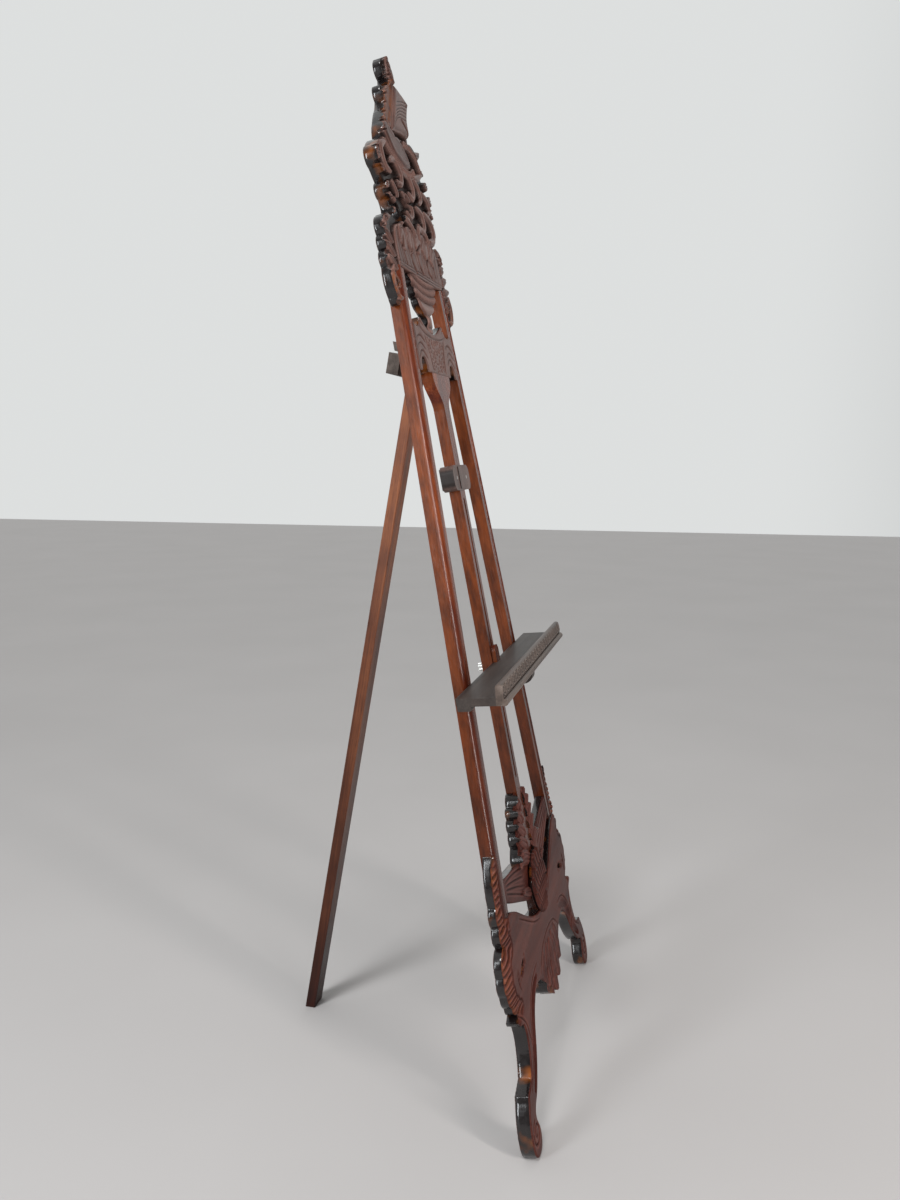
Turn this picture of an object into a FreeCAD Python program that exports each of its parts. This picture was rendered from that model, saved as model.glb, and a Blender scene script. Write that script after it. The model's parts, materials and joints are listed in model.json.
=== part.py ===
import FreeCAD, Part
import math
import os

from FreeCAD import Placement, Rotation, Vector

# Carved wooden display easel. +X is to the right of someone facing it, +Y is
# towards its back and +Z is up. The floor is z = 0 and the origin lies on it,
# midway between the outermost points. Millimetres and degrees.

SIZES = {
    # stance
    "frame_lean": 11.15,
    "leg_lean": 10.3,
    # side rails: their heights are measured up the leaning frame
    "rail_foot": 408.0,
    "rail_head": 1609.0,
    "rail_gap_foot": 237.0,
    "rail_gap_head": 119.5,
    "rail_width": 38.0,
    "rail_depth": 27.0,
    "bead_start": 18.5,
    "bead_radius": 5.5,
    "side_start": 9.0,
    "strip_depth": 2.0,
    # centre rail and its slot
    "centre_width": 37.0,
    "centre_depth": 23.0,
    "centre_foot": 310.0,
    "centre_head": 1423.0,
    "bell_height": 74.0,
    "bell_half_width": 62.0,
    "slot_width": 8.6,
    "slot_foot": 590.0,
    "slot_head": 1176.0,
    # base board
    "board_thickness": 28.0,
    "board_proud": 4.0,
    "seam_offset": 186.0,
    "base_half_width": 370.0,
    "foot_width": 60.0,
    "foot_height": 76.0,
    "wing_half_width": 326.0,
    "leg_wing_top": 530.0,
    "arch_height": 217.0,
    "drop_tip_height": 122.0,
    "piercing_offset": 231.0,
    "piercing_height": 296.0,
    "piercing_length": 42.0,
    "piercing_width": 18.0,
    # swag brackets and palmette
    "bracket_thickness": 24.0,
    "bracket_top": 563.0,
    "bracket_reach": 66.0,
    "arm_top": 468.0,
    "arm_bottom": 426.0,
    "palmette_half_width": 60.0,
    "palmette_height": 138.0,
    "palmette_thickness": 11.0,
    # crest
    "crest_thickness": 26.0,
    "crest_setback": 2.0,
    "crest_top": 2052.0,
    "crest_half_width": 184.0,
    "ear_thickness": 20.0,
    "ear_foot": 1540.0,
    "ear_head": 1698.0,
    "ear_reach": 42.0,
    "pendant_thickness": 18.0,
    "pendant_half_width": 82.0,
    "panel_thickness": 18.0,
    "panel_top": 1528.0,
    "panel_dip": 24.0,
    # dowels
    "dowel_diameter": 9.0,
    "dowel_length": 60.0,
    # hinge line, battens and rear leg
    "hinge_height": 1456.0,
    "hinge_standoff": -3.0,
    "knuckle_radius": 4.0,
    "pin_radius": 1.75,
    "leaf_thickness": 1.6,
    "leaf_gap": 0.4,
    "leaf_length": 60.0,
    "leaf_depth": 13.5,
    "hinge_offset": 100.0,
    "batten_half_length": 150.0,
    "batten_height": 16.0,
    "batten_depth": 12.5,
    "crossbar_front": 4.5,
    "crossbar_depth": 23.0,
    "crossbar_height": 38.5,
    "leg_width": 42.0,
    "leg_depth": 22.0,
    "tenon_width": 30.0,
    "tenon_depth": 9.0,
    "tenon_length": 30.0,
    "peg_diameter": 7.0,
    # screws
    "screw_radius": 1.8,
    "screw_head_radius": 3.8,
    "screw_head_height": 2.6,
    "hinge_screw_length": 10.0,
    "batten_screw_length": 26.0,
    "holder_screw_length": 32.0,
    "shelf_screw_length": 28.0,
    # shelf
    "shelf_height": 838.0,
    "shelf_rise": 5.3,
    "shelf_half_length": 319.0,
    "shelf_depth": 72.0,
    "shelf_thickness": 14.0,
    "lip_height": 38.0,
    "lip_base": 21.0,
    "shelf_batten_depth": 26.0,
    "shelf_batten_height": 9.0,
    "corbel_thickness": 28.0,
    "corbel_reach": 76.0,
    "corbel_drop": 40.0,
    "tongue_width": 30.0,
    "tongue_height": 34.0,
    "tongue_thickness": 9.0,
    "tongue_seat": 3.0,
    "bolt_diameter": 6.0,
    "bolt_bite": 30.0,
    "bolt_height": -8.5,
    "washer_radius": 9.0,
    "washer_thickness": 1.5,
    "nut_radius": 11.0,
    "nut_thickness": 9.0,
    "nut_lobe_radius": 3.2,
    "nut_lobes": 7,
    # picture holder on the centre rail
    "holder_height": 1217.0,
    "holder_half_width": 62.0,
    "holder_tall": 50.0,
    "holder_corner": 17.0,
    "holder_band": 44.0,
    "holder_proud": 4.0,
    "holder_plate": 5.0,
    "holder_screw_offset": 36.0,
    "slide_clearance": 0.4,
    "slide_gap": 0.3,
}

doc = FreeCAD.newDocument("CarvedEasel")
sheet = doc.addObject("Spreadsheet::Sheet", "Sizes")
for row, (alias, value) in enumerate(SIZES.items(), start=1):
    sheet.set(f"A{row}", alias)
    sheet.set(f"B{row}", str(value))
    sheet.setAlias(f"B{row}", alias)
doc.recompute()


def size(alias):
    return float(sheet.get(alias))


nodes = []


def node(item, label):
    """Names a finished piece and puts it on the list of pieces to write."""
    item.Label = label
    nodes.append(item)
    return item


# ---------------------------------------------------------------- drawing


class Outline:
    """A closed outline drawn piece by piece in the (across, up) plane."""

    def __init__(self, start, side=1):
        self.side = side
        self.start = start
        self.here = start
        self.pieces = []

    def point(self, place):
        return Vector(self.side * place[0], place[1], 0)

    def line(self, *places):
        for place in places:
            self.pieces.append(Part.LineSegment(self.point(self.here), self.point(place)))
            self.here = place
        return self

    def curve(self, *places):
        spline = Part.BSplineCurve()
        spline.interpolate([self.point(place) for place in (self.here, *places)])
        self.pieces.append(spline)
        self.here = places[-1]
        return self

    def arc(self, middle, end):
        self.pieces.append(Part.Arc(self.point(self.here), self.point(middle), self.point(end)))
        self.here = end
        return self

    def scallops(self, end, count, bulge):
        """Equal arcs along a straight run, each bulging to the left of its direction."""
        (x0, y0), (x1, y1) = self.here, end
        run = math.hypot(x1 - x0, y1 - y0)
        left = (-(y1 - y0) / run, (x1 - x0) / run)
        for index in range(count):
            middle = (index + 0.5) / count
            stop = (index + 1) / count
            top = (x0 + (x1 - x0) * middle + left[0] * bulge, y0 + (y1 - y0) * middle + left[1] * bulge)
            self.arc(top, (x0 + (x1 - x0) * stop, y0 + (y1 - y0) * stop))
        return self

    def close(self):
        return self.line(self.start)

    def draw(self, sketch):
        for piece in self.pieces:
            sketch.addGeometry(piece, False)


def sketch_on(body, role, offset=0.0):
    plane = next(item for item in body.Origin.OriginFeatures if item.Role == role)
    sketch = body.newObject("Sketcher::SketchObject", body.Name + "_sketch")
    sketch.AttachmentSupport = [(plane, "")]
    sketch.MapMode = "FlatFace"
    if offset:
        sketch.AttachmentOffset = Placement(Vector(0, 0, offset), Rotation())
    return sketch


def pad(body, sketch, length, reverse=False, midplane=False):
    feature = body.newObject("PartDesign::Pad", body.Name + "_pad")
    feature.Profile = sketch
    feature.setExpression("Length", length)
    feature.Reversed = reverse
    feature.Midplane = midplane
    sketch.Visibility = False
    body.Tip = feature
    return feature


def pocket(body, draw, role, length, offset=0.0, midplane=False, reverse=False):
    """Cuts a drawn shape out of a body, and makes sure that it removed something."""
    doc.recompute()
    before = body.Shape.Volume
    sketch = sketch_on(body, role, offset)
    draw(sketch)
    feature = body.newObject("PartDesign::Pocket", body.Name + "_pocket")
    feature.Profile = sketch
    feature.setExpression("Length", length)
    feature.Midplane = midplane
    feature.Reversed = reverse
    body.Tip = feature
    doc.recompute()
    if body.Shape.Volume >= before - 1.0:
        raise ValueError(f"the pocket in {body.Label} removed nothing")
    return feature


def new_body(name, place):
    body = doc.addObject("PartDesign::Body", name)
    body.Label = name
    body.Placement = place
    return body


def board(name, outline, thickness, place):
    """A flat board: its outline stands in the frame's plane and it runs back from there."""
    body = new_body(name, place)
    sketch = sketch_on(body, "XZ_Plane")
    outline.draw(sketch)
    pad(body, sketch, thickness, reverse=True)
    return body


def box(name, corner, lengths, place):
    """A plain block from its lowest corner; each length is a value or an expression."""
    item = doc.addObject("Part::Box", name)
    for side, length in zip(("Length", "Width", "Height"), lengths):
        if isinstance(length, str):
            item.setExpression(side, length)
        else:
            setattr(item, side, length)
    item.Placement = place * Placement(Vector(*corner), Rotation())
    return item


def rod(name, radius, length, place):
    item = doc.addObject("Part::Cylinder", name)
    item.setExpression("Radius", radius)
    item.setExpression("Height", length)
    item.Placement = place
    return item


def fuse(name, items):
    item = doc.addObject("Part::MultiFuse", name)
    item.Shapes = items
    return item


def group(name, items):
    item = doc.addObject("Part::Compound", name)
    item.Links = items
    return item


def cut(name, base, tool):
    item = doc.addObject("Part::Cut", name)
    item.Base = base
    item.Tool = tool
    return item


def screw(name, length, place):
    """A countersunk wood screw: its head's face is at the place and it points along local +Z."""
    head = doc.addObject("Part::Cone", name + "_head")
    head.setExpression("Radius1", "Sizes.screw_head_radius")
    head.setExpression("Radius2", "Sizes.screw_radius")
    head.setExpression("Height", "Sizes.screw_head_height")
    shank = rod(name + "_shank", "Sizes.screw_radius", length, Placement())
    whole = fuse(name, [head, shank])
    whole.Placement = place
    return whole


# ------------------------------------------------------------ placements

LEAN = size("frame_lean")
LEG_LEAN = size("leg_lean")
ACROSS = Vector(1, 0, 0)
HINGE_DEPTH = size("rail_depth") + size("hinge_standoff")


def middle_depth():
    """Half way from the toes' front to where the rear leg's back edge meets the floor."""
    lean, spread = math.radians(LEAN), math.radians(LEG_LEAN)
    hinge_back = HINGE_DEPTH * math.cos(lean) + size("hinge_height") * math.sin(lean)
    hinge_up = size("hinge_height") * math.cos(lean) - HINGE_DEPTH * math.sin(lean)
    heel = (size("crossbar_front") + size("leg_depth")) / math.cos(spread)
    return (hinge_back + hinge_up * math.tan(spread) + heel - size("board_proud") * math.cos(lean)) / 2


FRAME = Placement(Vector(0, -middle_depth(), 0), Rotation(ACROSS, -LEAN))
BASE = FRAME * Placement(Vector(0, -size("board_proud"), 0), Rotation())
HINGE_POINT = FRAME.multVec(Vector(0, HINGE_DEPTH, size("hinge_height")))
LEG = Placement(HINGE_POINT, Rotation(ACROSS, LEG_LEAN))
SHELF_ANGLE = LEAN - size("shelf_rise")
SHELF = FRAME * Placement(Vector(0, 0, size("shelf_height")), Rotation(ACROSS, SHELF_ANGLE))
BACKWARD = Rotation(ACROSS, -90)
FORWARD = Rotation(ACROSS, 90)

SPLAY = math.degrees(math.atan2(
    size("rail_gap_foot") - size("rail_gap_head"), size("rail_head") - size("rail_foot")))
RAIL_SLOPE = math.tan(math.radians(SPLAY))


def at(x, y, z):
    return Placement(Vector(x, y, z), Rotation())


def rail_inner(height):
    """Distance from the middle to a side rail's inner edge at a height up the frame."""
    return size("rail_gap_foot") - RAIL_SLOPE * (height - size("rail_foot"))


def rail_outer(height):
    return rail_inner(height) + size("rail_width") / math.cos(math.radians(SPLAY))


def rail_corner(height, along):
    """A point on a rail's square end, at a distance outwards from its inner corner."""
    angle = math.radians(SPLAY)
    return (rail_inner(height) + along * math.cos(angle), height + along * math.sin(angle))


# ------------------------------------------------------------ fasteners

DOWEL_BITE = size("dowel_length") / 2
FRAME_BACK = size("rail_depth")


def dowel_tool(name, places):
    """Plain pegs, each standing along the local +Z of its place and centred on it."""
    rods = []
    for index, place in enumerate(places):
        rods.append(rod(f"{name}_{index}", "Sizes.dowel_diameter / 2", "Sizes.dowel_length",
                        FRAME * place * at(0, 0, -DOWEL_BITE)))
    return group(name, rods)


def splayed(side, height, along):
    x, z = rail_corner(height, along)
    return Placement(Vector(side * x, FRAME_BACK / 2, z), Rotation(Vector(0, 1, 0), -side * SPLAY))


base_dowels = node(dowel_tool("base_dowels", [
    splayed(-1, size("rail_foot"), size("rail_width") / 2),
    splayed(1, size("rail_foot"), size("rail_width") / 2),
    at(0, size("centre_depth") / 2, size("centre_foot")),
]), "base_dowels")
crest_dowels = node(dowel_tool("crest_dowels", [
    splayed(-1, size("rail_head"), size("rail_width") / 2),
    splayed(1, size("rail_head"), size("rail_width") / 2),
]), "crest_dowels")
SEAM_DOWEL_HEIGHTS = (250.0, 340.0)
SIDEWAYS = Rotation(Vector(0, 1, 0), 90)
seam_dowels = node(dowel_tool("seam_dowels", [
    Placement(Vector(side * size("seam_offset"), FRAME_BACK / 2, height), SIDEWAYS)
    for side in (-1, 1) for height in SEAM_DOWEL_HEIGHTS
]), "seam_dowels")

# ------------------------------------------------------------ frame rails


def side_rail(name, side):
    """Moulded rail: a flat inner strip, a quirk, and a bead that rolls over the outer edge."""
    width, depth, strip = size("rail_width"), size("rail_depth"), size("strip_depth")
    bead, small, edge = size("bead_start"), size("bead_radius"), size("side_start")
    crown = bead + small
    large = ((width - crown) ** 2 + edge ** 2) / (2 * edge)
    half_turn = math.asin((width - crown) / large) / 2
    diagonal = small * (1 - math.sqrt(0.5))
    outline = Outline((0, depth), side)
    outline.line((0, strip), (bead - 4, strip), (bead - 3, small), (bead, small))
    outline.arc((bead + diagonal, diagonal), (crown, 0))
    outline.arc((crown + large * math.sin(half_turn), large * (1 - math.cos(half_turn))), (width, edge))
    outline.line((width, depth)).close()
    turn = Rotation(Vector(0, 1, 0), -side * SPLAY)
    start = Vector(side * size("rail_gap_foot"), 0, size("rail_foot"))
    body = new_body(name + "_blank", FRAME * Placement(start, turn))
    sketch = sketch_on(body, "XY_Plane")
    outline.draw(sketch)
    pad(body, sketch, f"(Sizes.rail_head - Sizes.rail_foot) / cos({SPLAY} deg)")
    return body


def centre_rail():
    half = size("centre_width") / 2
    head, bell = size("centre_head"), size("bell_height")
    flare = size("bell_half_width")
    outline = Outline((half, size("centre_foot")))
    outline.line((half, head - bell))
    outline.curve((half + 4, head - 0.76 * bell), (flare - 12, head - 0.4 * bell), (flare, head))
    outline.line((-flare, head))
    outline.curve((-flare + 12, head - 0.4 * bell), (-half - 4, head - 0.76 * bell), (-half, head - bell))
    outline.line((-half, size("centre_foot"))).close()
    body = board("centre_rail_blank", outline, "Sizes.centre_depth", FRAME)

    def slot(sketch):
        reach = size("slot_width") / 2
        low, high = size("slot_foot") + reach, size("slot_head") - reach
        Outline((reach, low)).line((reach, high)).arc((0, high + reach), (-reach, high)).line(
            (-reach, low)).arc((0, low - reach), (reach, low)).draw(sketch)

    pocket(body, slot, "XZ_Plane", "Sizes.centre_depth * 2", midplane=True)
    return body


# ------------------------------------------------------------ base

FLOOR_BLOCK = box("floor_block", (-600, -600, -60), (1200, 1200, 60), at(0, 0, 0))
SEAM = size("seam_offset")
ARCH = size("arch_height")
APRON_SEAM_TOP = 384.0
ARCH_SEAM = ARCH - 12.0


def leg_outline(side):
    """One scroll leg: a ruffled wing beside the rail, a waist, a spur and a scrolled foot."""
    reach, wide = size("base_half_width"), size("wing_half_width")
    wing, ankle = size("leg_wing_top"), size("foot_height")
    foot, heel = size("rail_foot"), reach - size("foot_width")
    outline = Outline((rail_outer(wing), wing), side)
    outline.arc((wide - 41, wing - 42), (wide - 35, wing - 88))
    outline.arc((wide - 26, wing - 104), (wide - 32, wing - 124))
    outline.arc((wide - 24, wing - 142), (wide - 34, wing - 162))
    outline.arc((wide - 6, wing - 178), (wide - 2, wing - 204))
    outline.arc((wide + 4, wing - 222), (wide - 2, wing - 240))
    outline.arc((wide - 6, wing - 258), (wide - 18, wing - 270))
    outline.arc((wide - 22, wing - 284), (wide - 36, wing - 286))
    outline.line((wide - 12, wing - 296), (wide - 16, wing - 303), (wide - 38, wing - 312))
    outline.curve((wide - 44, 1.35 * ankle + 90), (wide - 34, 1.35 * ankle + 42), (wide - 22, 1.35 * ankle + 20))
    outline.line((reach - 26, ankle + 38), (reach - 22, ankle + 28))
    outline.curve((reach - 4, ankle - 6), (reach, ankle - 34), (reach - 4, 18), (reach - 16, 4), (reach - 30, 0))
    outline.line((heel + 20, 0))
    outline.curve((heel + 6, 8), (heel, 0.42 * ankle), (heel + 10, 0.72 * ankle), (heel - 16, ankle + 6))
    outline.curve((heel - 50, ankle + 36), (heel - 74, ankle + 68), (heel - 92, ankle + 98), (SEAM, ARCH_SEAM))
    outline.line((SEAM, APRON_SEAM_TOP))
    outline.curve((SEAM + 26, APRON_SEAM_TOP + 14), (rail_inner(foot), foot))
    outline.line(rail_corner(foot, size("rail_width"))).close()
    return outline


def scroll_leg(name, side):
    body = board(name + "_blank", leg_outline(side), "Sizes.board_thickness", BASE)

    def hole(sketch):
        x, z = size("piercing_offset"), size("piercing_height")
        half, wide = size("piercing_length") / 2, size("piercing_width") / 2
        Outline((x - half, z + wide * 0.5), side).curve(
            (x - half * 0.4, z + wide * 1.1), (x + half * 0.4, z + wide * 0.2), (x + half, z - wide * 0.2)).line(
            (x + half * 0.9, z - wide * 0.9)).curve(
            (x + half * 0.3, z - wide * 0.9), (x - half * 0.5, z - wide * 0.1), (x - half, z + wide * 0.5)).draw(sketch)

    pocket(body, hole, "XZ_Plane", "Sizes.board_thickness * 2", midplane=True)
    return cut(name, body, FLOOR_BLOCK)


def apron_outline():
    """The board between the legs: dished on top, with a three-lobed drop between two arches."""
    tip = size("drop_tip_height")
    shelf = size("centre_width") / 2 + 8
    foot = size("centre_foot")
    outline = Outline((-SEAM, APRON_SEAM_TOP))
    outline.curve((-124, foot + 36), (-62, foot + 8), (-shelf, foot))
    outline.line((shelf, foot))
    outline.curve((62, foot + 8), (124, foot + 36), (SEAM, APRON_SEAM_TOP))
    outline.line((SEAM, ARCH_SEAM))
    outline.curve((150, ARCH), (112, ARCH - 12), (84, ARCH - 36))
    outline.arc((76, tip + 34), (62, tip + 32)).line((50, tip + 42))
    outline.arc((44, tip + 14), (30, tip + 12)).line((20, tip + 26))
    outline.arc((0, tip), (-20, tip + 26)).line((-30, tip + 12))
    outline.arc((-44, tip + 14), (-50, tip + 42)).line((-62, tip + 32))
    outline.arc((-76, tip + 34), (-84, ARCH - 36))
    outline.curve((-112, ARCH - 12), (-150, ARCH), (-SEAM, ARCH_SEAM))
    outline.close()
    return outline


def swag_bracket(name, side):
    """A carved arm from the side rail to the centre rail, which climbs it in scallops."""
    inner = size("centre_width") / 2
    top, reach = size("bracket_top"), size("bracket_reach")
    arm_top, arm_low = size("arm_top"), size("arm_bottom")
    outline = Outline((rail_inner(arm_top), arm_top), side)
    outline.curve((186, arm_top - 10), (124, arm_top - 20), (reach + 20, arm_top - 26))
    outline.arc((reach + 10, arm_top - 12), (reach, arm_top - 4))
    outline.arc((reach + 6, arm_top + 14), (reach - 4, arm_top + 26))
    outline.arc((reach + 1, arm_top + 42), (reach - 12, arm_top + 52))
    outline.arc((reach - 10, arm_top + 66), (reach - 24, arm_top + 72))
    outline.arc((reach - 32, top - 6), (inner, top))
    outline.line((inner, size("centre_foot") + 26))
    outline.curve((62, arm_low - 76), (124, arm_low - 50), (190, arm_low - 22), (rail_inner(arm_low), arm_low))
    outline.close()
    return board(name, outline, "Sizes.bracket_thickness", FRAME)


def palmette():
    """A fluted fan that covers the foot of the centre rail."""
    half, tall = size("palmette_half_width"), size("palmette_height")
    foot = size("centre_foot") - 6
    outline = Outline((-0.3 * half, foot))
    outline.curve((-0.75 * half, foot + 0.2 * tall), (-half, foot + 0.5 * tall))
    outline.scallops((-0.45 * half, foot + 0.88 * tall), 3, 4)
    outline.scallops((0.45 * half, foot + 0.88 * tall), 3, 6)
    outline.scallops((half, foot + 0.5 * tall), 3, 4)
    outline.curve((0.75 * half, foot + 0.2 * tall), (0.3 * half, foot))
    outline.arc((0, foot - 8), (-0.3 * half, foot))
    return board("palmette_blank", outline, "Sizes.palmette_thickness", FRAME * at(0, -size("palmette_thickness"), 0))


# ------------------------------------------------------------ crest

CREST_SIDE = (rail_outer(size("rail_head")) - 16, size("ear_head") - 2)


def crest_point(across, up):
    """A point of the cresting, as shares of its half width and of its height over the ears."""
    return (across * size("crest_half_width"), CREST_SIDE[1] + up * (size("crest_top") - CREST_SIDE[1]))


def crest_outline():
    """The cresting: a scrolled finial over leaves and C-scrolls, uneven left to right."""
    head = size("rail_head")
    outer = rail_corner(head, size("rail_width"))
    outline = Outline((-outer[0], outer[1]))
    outline.line((-CREST_SIDE[0], CREST_SIDE[1]))
    left_lobes = [
        ((-0.71, 0.028), (-0.61, 0.051)), ((-0.59, 0.090), (-0.62, 0.124)),
        ((-0.70, 0.163), (-0.62, 0.213)), ((-0.67, 0.242), (-0.73, 0.270)),
        ((-0.82, 0.320), (-0.74, 0.382)), ((-0.59, 0.433), (-0.41, 0.455)),
        ((-0.39, 0.506), (-0.32, 0.562)), ((-0.25, 0.607), (-0.18, 0.646)),
        ((-0.11, 0.680), (-0.05, 0.725)), ((-0.08, 0.770), (0.03, 0.815)),
        ((0.15, 0.837), (0.22, 0.888)), ((0.14, 0.944), (0.18, 0.983)),
    ]
    right_lobes = [
        ((0.34, 0.927), (0.33, 0.893)), ((0.46, 0.854), (0.61, 0.857)), ((0.76, 0.865), (0.78, 0.826)),
        ((0.64, 0.747), (0.59, 0.669)), ((0.64, 0.629), (0.63, 0.596)), ((0.80, 0.607), (0.93, 0.579)),
        ((0.86, 0.534), (0.79, 0.483)), ((0.88, 0.455), (0.93, 0.416)), ((0.99, 0.382), (0.91, 0.354)),
        ((1.03, 0.303), (0.93, 0.242)), ((1.00, 0.202), (0.91, 0.157)), ((0.96, 0.118), (0.86, 0.079)),
        ((0.83, 0.056), (0.80, 0.034)),
    ]
    for middle, end in left_lobes:
        outline.arc(crest_point(*middle), crest_point(*end))
    outline.arc(crest_point(0.26, 1.0), crest_point(0.32, 0.966))
    for middle, end in right_lobes:
        outline.arc(crest_point(*middle), crest_point(*end))
    outline.line(CREST_SIDE, outer, (rail_inner(head), head), (-rail_inner(head), head)).close()
    return outline


def crest():
    body = board("crest_blank", crest_outline(), "Sizes.crest_thickness", FRAME * at(0, size("crest_setback"), 0))

    def opening(sketch):
        Outline(crest_point(-0.53, 0.05)).curve(
            crest_point(-0.50, 0.13), crest_point(-0.36, 0.15), crest_point(-0.24, 0.12)).curve(
            crest_point(-0.28, 0.05), crest_point(-0.40, 0.02), crest_point(-0.53, 0.05)).draw(sketch)

    pocket(body, opening, "XZ_Plane", "Sizes.crest_thickness * 2", midplane=True)
    return body


def ear(name, side):
    """A ruffled ear beside the rail's head, with a small loop at its foot."""
    low, high, reach = size("ear_foot"), size("ear_head"), size("ear_reach")
    head = size("rail_head")
    outer = rail_corner(head, size("rail_width"))
    edge = outer[0] + reach
    outline = Outline((rail_outer(low), low), side)
    outline.line(outer, CREST_SIDE)
    outline.arc((CREST_SIDE[0] + 14, high + 4), (edge - 26, high - 2))
    outline.arc((edge - 8, high - 18), (edge - 12, high - 38))
    outline.arc((edge - 2, high - 52), (edge - 8, high - 66))
    outline.arc((edge + 2, high - 80), (edge - 4, high - 96))
    outline.arc((edge, high - 124), (edge - 12, low + 8)).arc((edge - 24, low - 4), (rail_outer(low), low))
    body = board(name, outline, "Sizes.ear_thickness", FRAME * at(0, 2, 0))

    def loop(sketch):
        x, z = rail_outer(low) + 11, low + 34
        Outline((x, z - 16), side).arc((x + 10, z), (x, z + 16)).arc((x - 5, z), (x, z - 16)).draw(sketch)

    pocket(body, loop, "XZ_Plane", "Sizes.ear_thickness * 2", midplane=True)
    return body


PANEL_FOOT = size("centre_head")
PANEL_TOP = size("panel_top")
PANEL_MIDDLE = PANEL_TOP - size("panel_dip")


def pendant():
    """Ribbed tiers that narrow to a turned neck standing on the shield panel."""
    half, head = size("pendant_half_width"), size("rail_head")
    neck, fall = 10.0, size("rail_head") - PANEL_MIDDLE
    outline = Outline((-half, head))
    outline.line((half, head))
    outline.arc((half - 2, head - 0.12 * fall), (half - 12, head - 0.2 * fall))
    outline.arc((half - 18, head - 0.34 * fall), (half - 32, head - 0.4 * fall))
    outline.curve((half - 42, head - 0.56 * fall), (neck + 4, head - 0.68 * fall), (neck, head - 0.8 * fall))
    outline.line((neck + 6, head - 0.88 * fall), (neck, PANEL_MIDDLE), (-neck, PANEL_MIDDLE))
    outline.line((-neck - 6, head - 0.88 * fall), (-neck, head - 0.8 * fall))
    outline.curve((-neck - 4, head - 0.68 * fall), (-half + 42, head - 0.56 * fall), (-half + 32, head - 0.4 * fall))
    outline.arc((-half + 18, head - 0.34 * fall), (-half + 12, head - 0.2 * fall))
    outline.arc((-half + 2, head - 0.12 * fall), (-half, head))
    return board("crest_pendant", outline, "Sizes.pendant_thickness", FRAME * at(0, 2, 0))


def shield_panel():
    """The panel between the rails: crescent top with two horns, and two arched notches below."""
    horn = 76.0
    outline = Outline((-rail_inner(PANEL_FOOT), PANEL_FOOT))
    outline.line((-rail_inner(PANEL_TOP - 14), PANEL_TOP - 14))
    outline.arc((-horn - 22, PANEL_TOP - 20), (-horn, PANEL_TOP))
    outline.arc((-44, PANEL_TOP - 16), (-12, PANEL_MIDDLE))
    outline.line((12, PANEL_MIDDLE))
    outline.arc((44, PANEL_TOP - 16), (horn, PANEL_TOP))
    outline.arc((horn + 22, PANEL_TOP - 20), (rail_inner(PANEL_TOP - 14), PANEL_TOP - 14))
    outline.line((rail_inner(PANEL_FOOT), PANEL_FOOT), (118, PANEL_FOOT))
    outline.arc((100, PANEL_FOOT + 27), (82, PANEL_FOOT)).line((-82, PANEL_FOOT))
    outline.arc((-100, PANEL_FOOT + 27), (-118, PANEL_FOOT)).close()
    return board("shield_panel", outline, "Sizes.panel_thickness", FRAME)


# ------------------------------------------------------------ build the frame

for label, side in (("left_rail", -1), ("right_rail", 1)):
    bored = cut(label + "_bored", side_rail(label, side), base_dowels)
    node(cut(label, bored, crest_dowels), label)
node(cut("centre_rail", centre_rail(), base_dowels), "centre_rail")
for label, side in (("left_scroll_leg", -1), ("right_scroll_leg", 1)):
    bored = cut(label + "_bored", scroll_leg(label + "_cut", side), base_dowels)
    node(cut(label, bored, seam_dowels), label)
apron = board("apron_blank", apron_outline(), "Sizes.board_thickness", BASE)
node(cut("apron_board", cut("apron_bored", apron, base_dowels), seam_dowels), "apron_board")
for label, side in (("left_swag_bracket", -1), ("right_swag_bracket", 1)):
    node(swag_bracket(label, side), label)
node(cut("palmette", palmette(), apron), "palmette")
node(cut("crest_board", crest(), crest_dowels), "crest_board")
for label, side in (("left_ear", -1), ("right_ear", 1)):
    node(ear(label, side), label)
node(pendant(), "crest_pendant")
node(shield_panel(), "shield_panel")

# ------------------------------------------------------------ hinges and rear leg

LEAF = size("leaf_thickness")
GAP = size("leaf_gap")
KNUCKLE = size("knuckle_radius")
JOINT_FACE = LEAF + GAP
HINGE_PLACES = (-size("hinge_offset"), size("hinge_offset"))
SCREW_SPREAD = 18.0
KNUCKLE_ROOM = 0.8
FOLD = LEAN + LEG_LEAN


def knuckles(name, spans, middle):
    """Rolled knuckles on the hinge line over the given stretches of the hinge's length."""
    items = []
    for index, (low, high) in enumerate(spans):
        items.append(rod(f"{name}_{index}", "Sizes.knuckle_radius", f"{high - low} mm",
                         LEG * Placement(Vector(middle + low, 0, 0), SIDEWAYS)))
    return items


def hinge_leaf(name, middle, upper):
    """One leaf with its knuckles, bored for the pin and for two countersunk screws."""
    length = size("leaf_length")
    low = GAP if upper else -GAP - LEAF
    plate = box(name + "_plate", (middle - length / 2, 0, low),
                ("Sizes.leaf_length", "Sizes.leaf_depth", "Sizes.leaf_thickness"), LEG)
    third = length / 3
    play = 0.15
    outer = [(-length / 2, -third / 2 - play), (third / 2 + play, length / 2)]
    inner = [(-third / 2 + play, third / 2 - play)]
    own, other = (outer, inner) if upper else (inner, outer)
    room = []
    for index, (start, stop) in enumerate(other):
        room.append(rod(f"{name}_room_{index}", f"Sizes.knuckle_radius + {KNUCKLE_ROOM / 2}",
                        f"{stop - start + 2 * play} mm",
                        LEG * Placement(Vector(middle + start - play, 0, 0), SIDEWAYS)))
    trimmed = cut(name + "_trimmed", plate, group(name + "_rooms", room))
    solid = fuse(name + "_solid", [trimmed, *knuckles(name + "_knuckle", own, middle)])
    bore = rod(name + "_bore", "Sizes.pin_radius", f"{length + 2} mm",
               LEG * Placement(Vector(middle - length / 2 - 1, 0, 0), SIDEWAYS))
    return cut(name + "_bored", solid, bore)


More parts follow.
